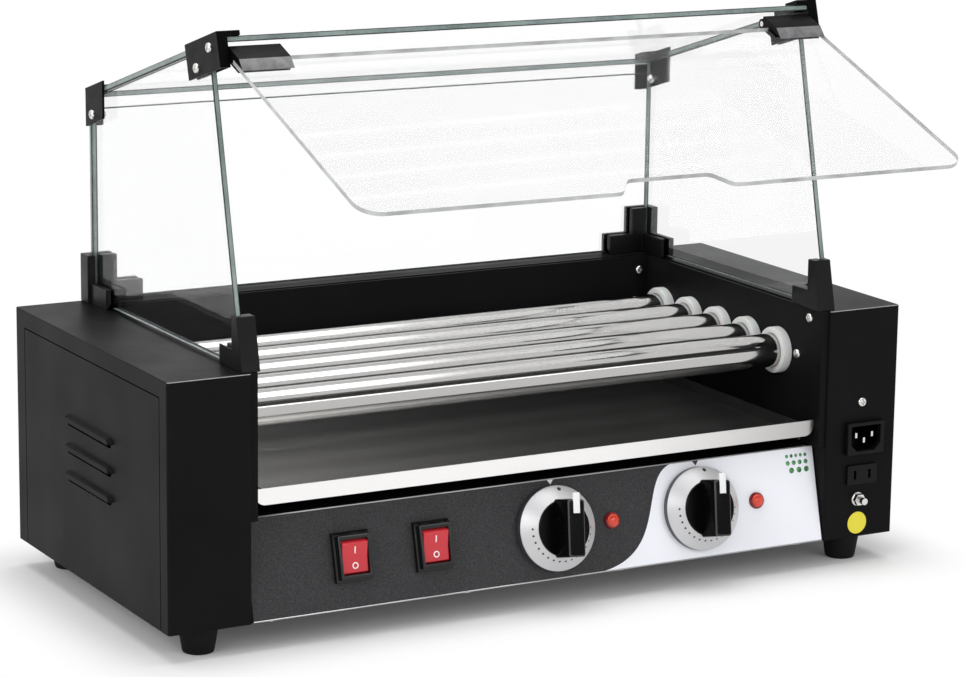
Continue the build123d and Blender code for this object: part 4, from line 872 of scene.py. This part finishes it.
for node, normal in (
    ("left_side_glass", sideways),
    ("right_side_glass", sideways),
    ("rear_glass", backwards),
    ("top_glass", roof_up),
):
    pane(node, normal, pane_edge, f"{node}_pane", "hood_glass", *glass_finishes)

# Glass brackets and clips: moulded black shoes on the housings hold the lower corners, and
# folded, black coated steel clips with screws hold the upper ones.
shoe_plastic, shader = new_finish("shoe_plastic", (0.004, 0.004, 0.0045), 0.38)
shader.inputs["Specular IOR Level"].default_value = 0.18
uneven_gloss(shader, grain(shader, 70, detail=4), 0.32, 0.45)
relief(shader, grain(shader, 1600), 0.00003, 0.5)
shoe_round = 0.0008
clip_round = 0.0003
for end in ("front", "rear"):
    shoes = f"{end}_base_brackets"
    eased(shoes, shoe_round, f"{end}_glass_shoes", "black_plastic", shoe_plastic)
clip_coat, shader = new_finish("clip_coat", (0.003, 0.003, 0.0035), 0.34)
shader.inputs["Specular IOR Level"].default_value = 0.06
uneven_gloss(shader, grain(shader, 120, detail=4), 0.28, 0.42)
relief(shader, grain(shader, 1500), 0.00002, 0.5)
for end in ("front", "rear"):
    eased(f"{end}_top_clips", clip_round, f"{end}_glass_clips", "clip_black", clip_coat)
coat(nickel, "door_hinge_pins")

# Screws: nickel plated pan heads with a cross recess, in the clips, the housing front, the
# roller walls, the rear inner wall and under the base pan. The two that pass through the side
# glass have a domed cap nut inside.
head_flat = 0.0023
shank_radius = 0.0018
cross_reach = 0.0019
cross_width = 0.0005
cross_depth = 0.0011
cross_taper = 0.8
screw_steps = 40
head_shares = ((1, 0.35), (0.95, 0.62), (0.84, 0.86))
nut_shares = ((1, 0.4), (0.86, 0.48), (0.80, 0.70), (0.55, 0.92))
levels_with_nut = 4
level_digits = 5


def add_pan_screw(mesh, place, radius, rise, shank):
    """A cross-recessed pan head on its seat, with a shank below."""
    screw = bmesh.new()
    profile = [(0, -shank), (shank_radius, -shank), (shank_radius, 0), (radius, 0)]
    profile += [(radius * out, rise * up) for out, up in head_shares]
    profile.append((head_flat, rise))
    turn_profile(screw, profile, (0, 0, 0), (0, 0, 1), screw_steps)
    bmesh.ops.remove_doubles(screw, verts=screw.verts, dist=same_point)
    rim = [e for e in screw.edges if len(e.link_faces) == 1]
    a, w = cross_reach, cross_width
    cross = [
        (a, -w), (a, w), (w, w), (w, a), (-w, a), (-w, w),
        (-a, w), (-a, -w), (-w, -w), (-w, -a), (w, -a), (w, -w),
    ]
    upper = [screw.verts.new((x, y, rise)) for x, y in cross]
    floor_cross = [(x * cross_taper, y * cross_taper) for x, y in cross]
    lower = [screw.verts.new((x, y, rise - cross_depth)) for x, y in floor_cross]
    brim = []
    for i in range(len(cross)):
        k = (i + 1) % len(cross)
        screw.faces.new((upper[i], upper[k], lower[k], lower[i]))
        brim.append(screw.edges.get((upper[i], upper[k])))
    screw.faces.new(lower)
    bmesh.ops.triangle_fill(screw, edges=rim + brim, use_beauty=True)
    close_mesh(screw)
    join_part(mesh, screw, place)


def add_cap_nut(mesh, place, radius, rise):
    """A domed nut on its seat."""
    nut = bmesh.new()
    profile = [(0, 0), (radius, 0)]
    profile += [(radius * out, rise * up) for out, up in nut_shares]
    profile.append((0, rise))
    turn_profile(nut, profile, (0, 0, 0), (0, 0, 1), screw_steps)
    close_mesh(nut)
    join_part(mesh, nut, place)


for node in ("clip_screws", "housing_screws"):
    screws_mesh = bmesh.new()
    for points in islands(node):
        low, high = corners(points)
        middle = (low + high) / 2
        size = high - low
        axis = min(range(3), key=lambda i: abs(size[i - 1] - size[i - 2]))
        reach = {}
        for point in points:
            level = round(point[axis], level_digits)
            across = point - middle
            across[axis] = 0
            reach[level] = max(reach.get(level, 0), across.length)
        levels = sorted(reach)
        through = len(levels) == levels_with_nut
        head_high = middle.x > 0 if through else reach[levels[-1]] > reach[levels[0]]
        if not head_high:
            levels.reverse()
        out = Vector((0, 0, 0))
        out[axis] = 1 if head_high else -1
        seat = middle.copy()
        seat[axis] = levels[-2]
        tail = levels[1] if through else levels[0]
        place = Matrix.Translation(seat) @ out.to_track_quat("Z", "Y").to_matrix().to_4x4()
        rise = abs(levels[-1] - levels[-2])
        add_pan_screw(screws_mesh, place, reach[levels[-1]], rise, abs(levels[-2] - tail))
        if through:
            seat[axis] = tail
            place = Matrix.Translation(seat) @ (-out).to_track_quat("Z", "Y").to_matrix().to_4x4()
            add_cap_nut(screws_mesh, place, reach[levels[0]], abs(levels[0] - tail))
    screws = new_piece(f"{node}_pan_heads", screws_mesh, "frame", "bright_screw", nickel)
    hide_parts(node)

# Front door: a sheet of clear acrylic with polished edges and a finger notch. Two folded black
# caps, with a grey painted highlight on their sloping lips, grip its upper corners and turn on
# the hinge pins.
acrylic, shader = new_finish("clear_acrylic", (0.97, 0.97, 0.97), 0.0)
shader.inputs["Transmission Weight"].default_value = 1.0
shader.inputs["IOR"].default_value = 1.45
shader.inputs["Alpha"].default_value = 0.05
uneven_gloss(shader, grain(shader, 7, detail=3), 0.0, 0.015)
acrylic_rim, shader = new_finish("acrylic_edge", (0.45, 0.46, 0.46), 0.2)
mottle(shader, grain(shader, 60, detail=4), (0.36, 0.37, 0.37), (0.56, 0.57, 0.57))
door_fall = math.radians(20.9)
door_up = Vector((0, -math.sin(door_fall), math.cos(door_fall)))
door_round = 0.0004
door_finishes = (acrylic, acrylic_rim, acrylic_rim)
pane("front_door", door_up, door_round, "door_pane", "clear_acrylic", *door_finishes)
# The grey on the caps' sloping lips is a painted highlight.
cap_lip_painted_highlight, shader = new_finish("cap_lip_painted_grey_highlight", (0.12, 0.12, 0.125), 0.38)
mottle(shader, grain(shader, 160, detail=4), (0.09, 0.09, 0.094), (0.16, 0.16, 0.165))
cap_round = 0.0004
caps = eased("door_hinge_clips", cap_round, "door_corner_caps", "clip_black", clip_coat, cap_lip_painted_highlight)
door_ahead = Vector((0, -math.cos(door_fall), -math.sin(door_fall)))
for face in caps.data.polygons:
    if face.normal.dot(door_ahead) > leaning and face.normal.dot(door_up) > leaning:
        face.material_index = 1

# Studio: a pale floor that keeps the machine's shadow, white to the camera and in reflections,
# a dark card that only reflections see, which draws a dark band along the rollers, and soft
# lamps above, in front on the left and on the right.


def seen_rays(tree):
    """One where a ray comes from the camera, a reflection or clear glass, otherwise nought."""
    path = tree.nodes.new("ShaderNodeLightPath")
    first = tree.nodes.new("ShaderNodeMath")
    first.operation = "MAXIMUM"
    second = tree.nodes.new("ShaderNodeMath")
    second.operation = "MAXIMUM"
    tree.links.new(path.outputs["Is Camera Ray"], first.inputs[0])
    tree.links.new(path.outputs["Is Glossy Ray"], first.inputs[1])
    tree.links.new(first.outputs["Value"], second.inputs[0])
    tree.links.new(path.outputs["Is Transmission Ray"], second.inputs[1])
    return second.outputs["Value"]


floor_half = 14.0
floor_data = bpy.data.meshes.new("studio_floor")
floor_data.from_pydata(
    [
        (-floor_half, -floor_half, 0),
        (floor_half, -floor_half, 0),
        (floor_half, floor_half, 0),
        (-floor_half, floor_half, 0),
    ],
    [],
    [(0, 1, 2, 3)],
)
floor = bpy.data.objects.new("studio_floor", floor_data)
bpy.context.scene.collection.objects.link(floor)
floor_paint = bpy.data.materials.new("pale_floor")
floor_paint.use_nodes = True
tree = floor_paint.node_tree
tree.nodes.clear()
matt = tree.nodes.new("ShaderNodeBsdfDiffuse")
matt.inputs["Color"].default_value = (0.9, 0.9, 0.9, 1)
white = tree.nodes.new("ShaderNodeEmission")
white.inputs["Strength"].default_value = 1.0
footprint = (0.29, 0.134)
footprint_middle = (0, 0.0774, 0)
shadow_reach = 0.07
shadow_lift = 0.05
place = tree.nodes.new("ShaderNodeTexCoord")
centred = tree.nodes.new("ShaderNodeVectorMath")
centred.operation = "SUBTRACT"
centred.inputs[1].default_value = footprint_middle
folded = tree.nodes.new("ShaderNodeVectorMath")
folded.operation = "ABSOLUTE"
beyond = tree.nodes.new("ShaderNodeVectorMath")
beyond.operation = "SUBTRACT"
beyond.inputs[1].default_value = (*footprint, 0)
outside = tree.nodes.new("ShaderNodeVectorMath")
outside.operation = "MAXIMUM"
outside.inputs[1].default_value = (0, 0, 0)
distance = tree.nodes.new("ShaderNodeVectorMath")
distance.operation = "LENGTH"
fade = tree.nodes.new("ShaderNodeMapRange")
fade.interpolation_type = "SMOOTHSTEP"
fade.inputs["From Max"].default_value = shadow_reach
fade.inputs["To Min"].default_value = shadow_lift
share = tree.nodes.new("ShaderNodeMath")
share.operation = "MULTIPLY"
chain = (centred, folded, beyond, outside, distance)
for source, target in zip(chain, chain[1:]):
    tree.links.new(source.outputs["Vector"], target.inputs[0])
tree.links.new(place.outputs["Object"], centred.inputs[0])
tree.links.new(distance.outputs["Value"], fade.inputs["Value"])
tree.links.new(fade.outputs["Result"], share.inputs[1])
blend = tree.nodes.new("ShaderNodeMixShader")
result = tree.nodes.new("ShaderNodeOutputMaterial")
tree.links.new(seen_rays(tree), share.inputs[0])
tree.links.new(share.outputs["Value"], blend.inputs["Fac"])
tree.links.new(matt.outputs["BSDF"], blend.inputs[1])
tree.links.new(white.outputs["Emission"], blend.inputs[2])
tree.links.new(blend.outputs["Shader"], result.inputs["Surface"])
floor_data.materials.append(floor_paint)

card_left, card_right = -1.2, 2.6
card_front, card_low = -1.9, 0.75
card_back, card_high = -0.95, 1.28
card_data = bpy.data.meshes.new("dark_card")
card_data.from_pydata(
    [
        (card_left, card_front, card_low),
        (card_right, card_front, card_low),
        (card_right, card_back, card_high),
        (card_left, card_back, card_high),
    ],
    [],
    [(0, 1, 2, 3)],
)
card = bpy.data.objects.new("dark_card", card_data)
bpy.context.scene.collection.objects.link(card)
card_cloth, shader = new_finish("dark_card_cloth", (0.01, 0.01, 0.01), 0.9)
card_data.materials.append(card_cloth)
card.visible_camera = False
card.visible_diffuse = False
card.visible_transmission = False
card.visible_shadow = False

world = bpy.data.worlds.new("studio")
bpy.context.scene.world = world
world.use_nodes = True
tree = world.node_tree
tree.nodes.clear()
soft = tree.nodes.new("ShaderNodeBackground")
soft.inputs["Color"].default_value = (1, 1, 1, 1)
soft.inputs["Strength"].default_value = 0.5
bright = tree.nodes.new("ShaderNodeBackground")
bright.inputs["Color"].default_value = (1, 1, 1, 1)
bright.inputs["Strength"].default_value = 1.0
blend = tree.nodes.new("ShaderNodeMixShader")
result = tree.nodes.new("ShaderNodeOutputWorld")
tree.links.new(seen_rays(tree), blend.inputs["Fac"])
tree.links.new(soft.outputs["Background"], blend.inputs[1])
tree.links.new(bright.outputs["Background"], blend.inputs[2])
tree.links.new(blend.outputs["Shader"], result.inputs["Surface"])


def add_lamp(name, place, aim, width, height, power):
    """A soft rectangular lamp that points at a spot."""
    data = bpy.data.lights.new(name, "AREA")
    data.shape = "RECTANGLE"
    data.size = width
    data.size_y = height
    data.energy = power
    lamp = bpy.data.objects.new(name, data)
    lamp.location = place
    lamp.rotation_euler = (Vector(aim) - Vector(place)).to_track_quat("-Z", "Y").to_euler()
    bpy.context.scene.collection.objects.link(lamp)


lamp_aim = (0, 0, 0.15)
add_lamp("top_softbox", (0.0, 0.2, 2.4), lamp_aim, 2.2, 1.6, 30)
add_lamp("left_softbox", (-2.4, -1.0, 1.5), lamp_aim, 1.4, 1.4, 28)
add_lamp("front_softbox", (0.9, -2.6, 1.3), lamp_aim, 1.6, 1.2, 16)

# Camera: a long lens in front on the left, a little above the hood, as in the photograph.
azimuth = math.radians(29.105)
elevation = math.radians(12.313)
roll = math.radians(0.75)
ahead = Vector(
    (
        math.sin(azimuth) * math.cos(elevation),
        math.cos(azimuth) * math.cos(elevation),
        -math.sin(elevation),
    )
)
level = Vector((math.cos(azimuth), -math.sin(azimuth), 0))
upright = level.cross(ahead)
right = level * math.cos(roll) + upright * math.sin(roll)
up = upright * math.cos(roll) - level * math.sin(roll)
camera_place = (-1.1383, -2.0, 0.6839)
camera_data = bpy.data.cameras.new("camera")
camera_data.sensor_width = 36
camera_data.lens = 124.94
camera = bpy.data.objects.new("camera", camera_data)
turn = Matrix((right, up, -ahead)).transposed().to_4x4()
camera.matrix_world = Matrix.Translation(camera_place) @ turn
bpy.context.scene.collection.objects.link(camera)
bpy.context.scene.camera = camera
bpy.context.scene.view_settings.view_transform = "Standard"
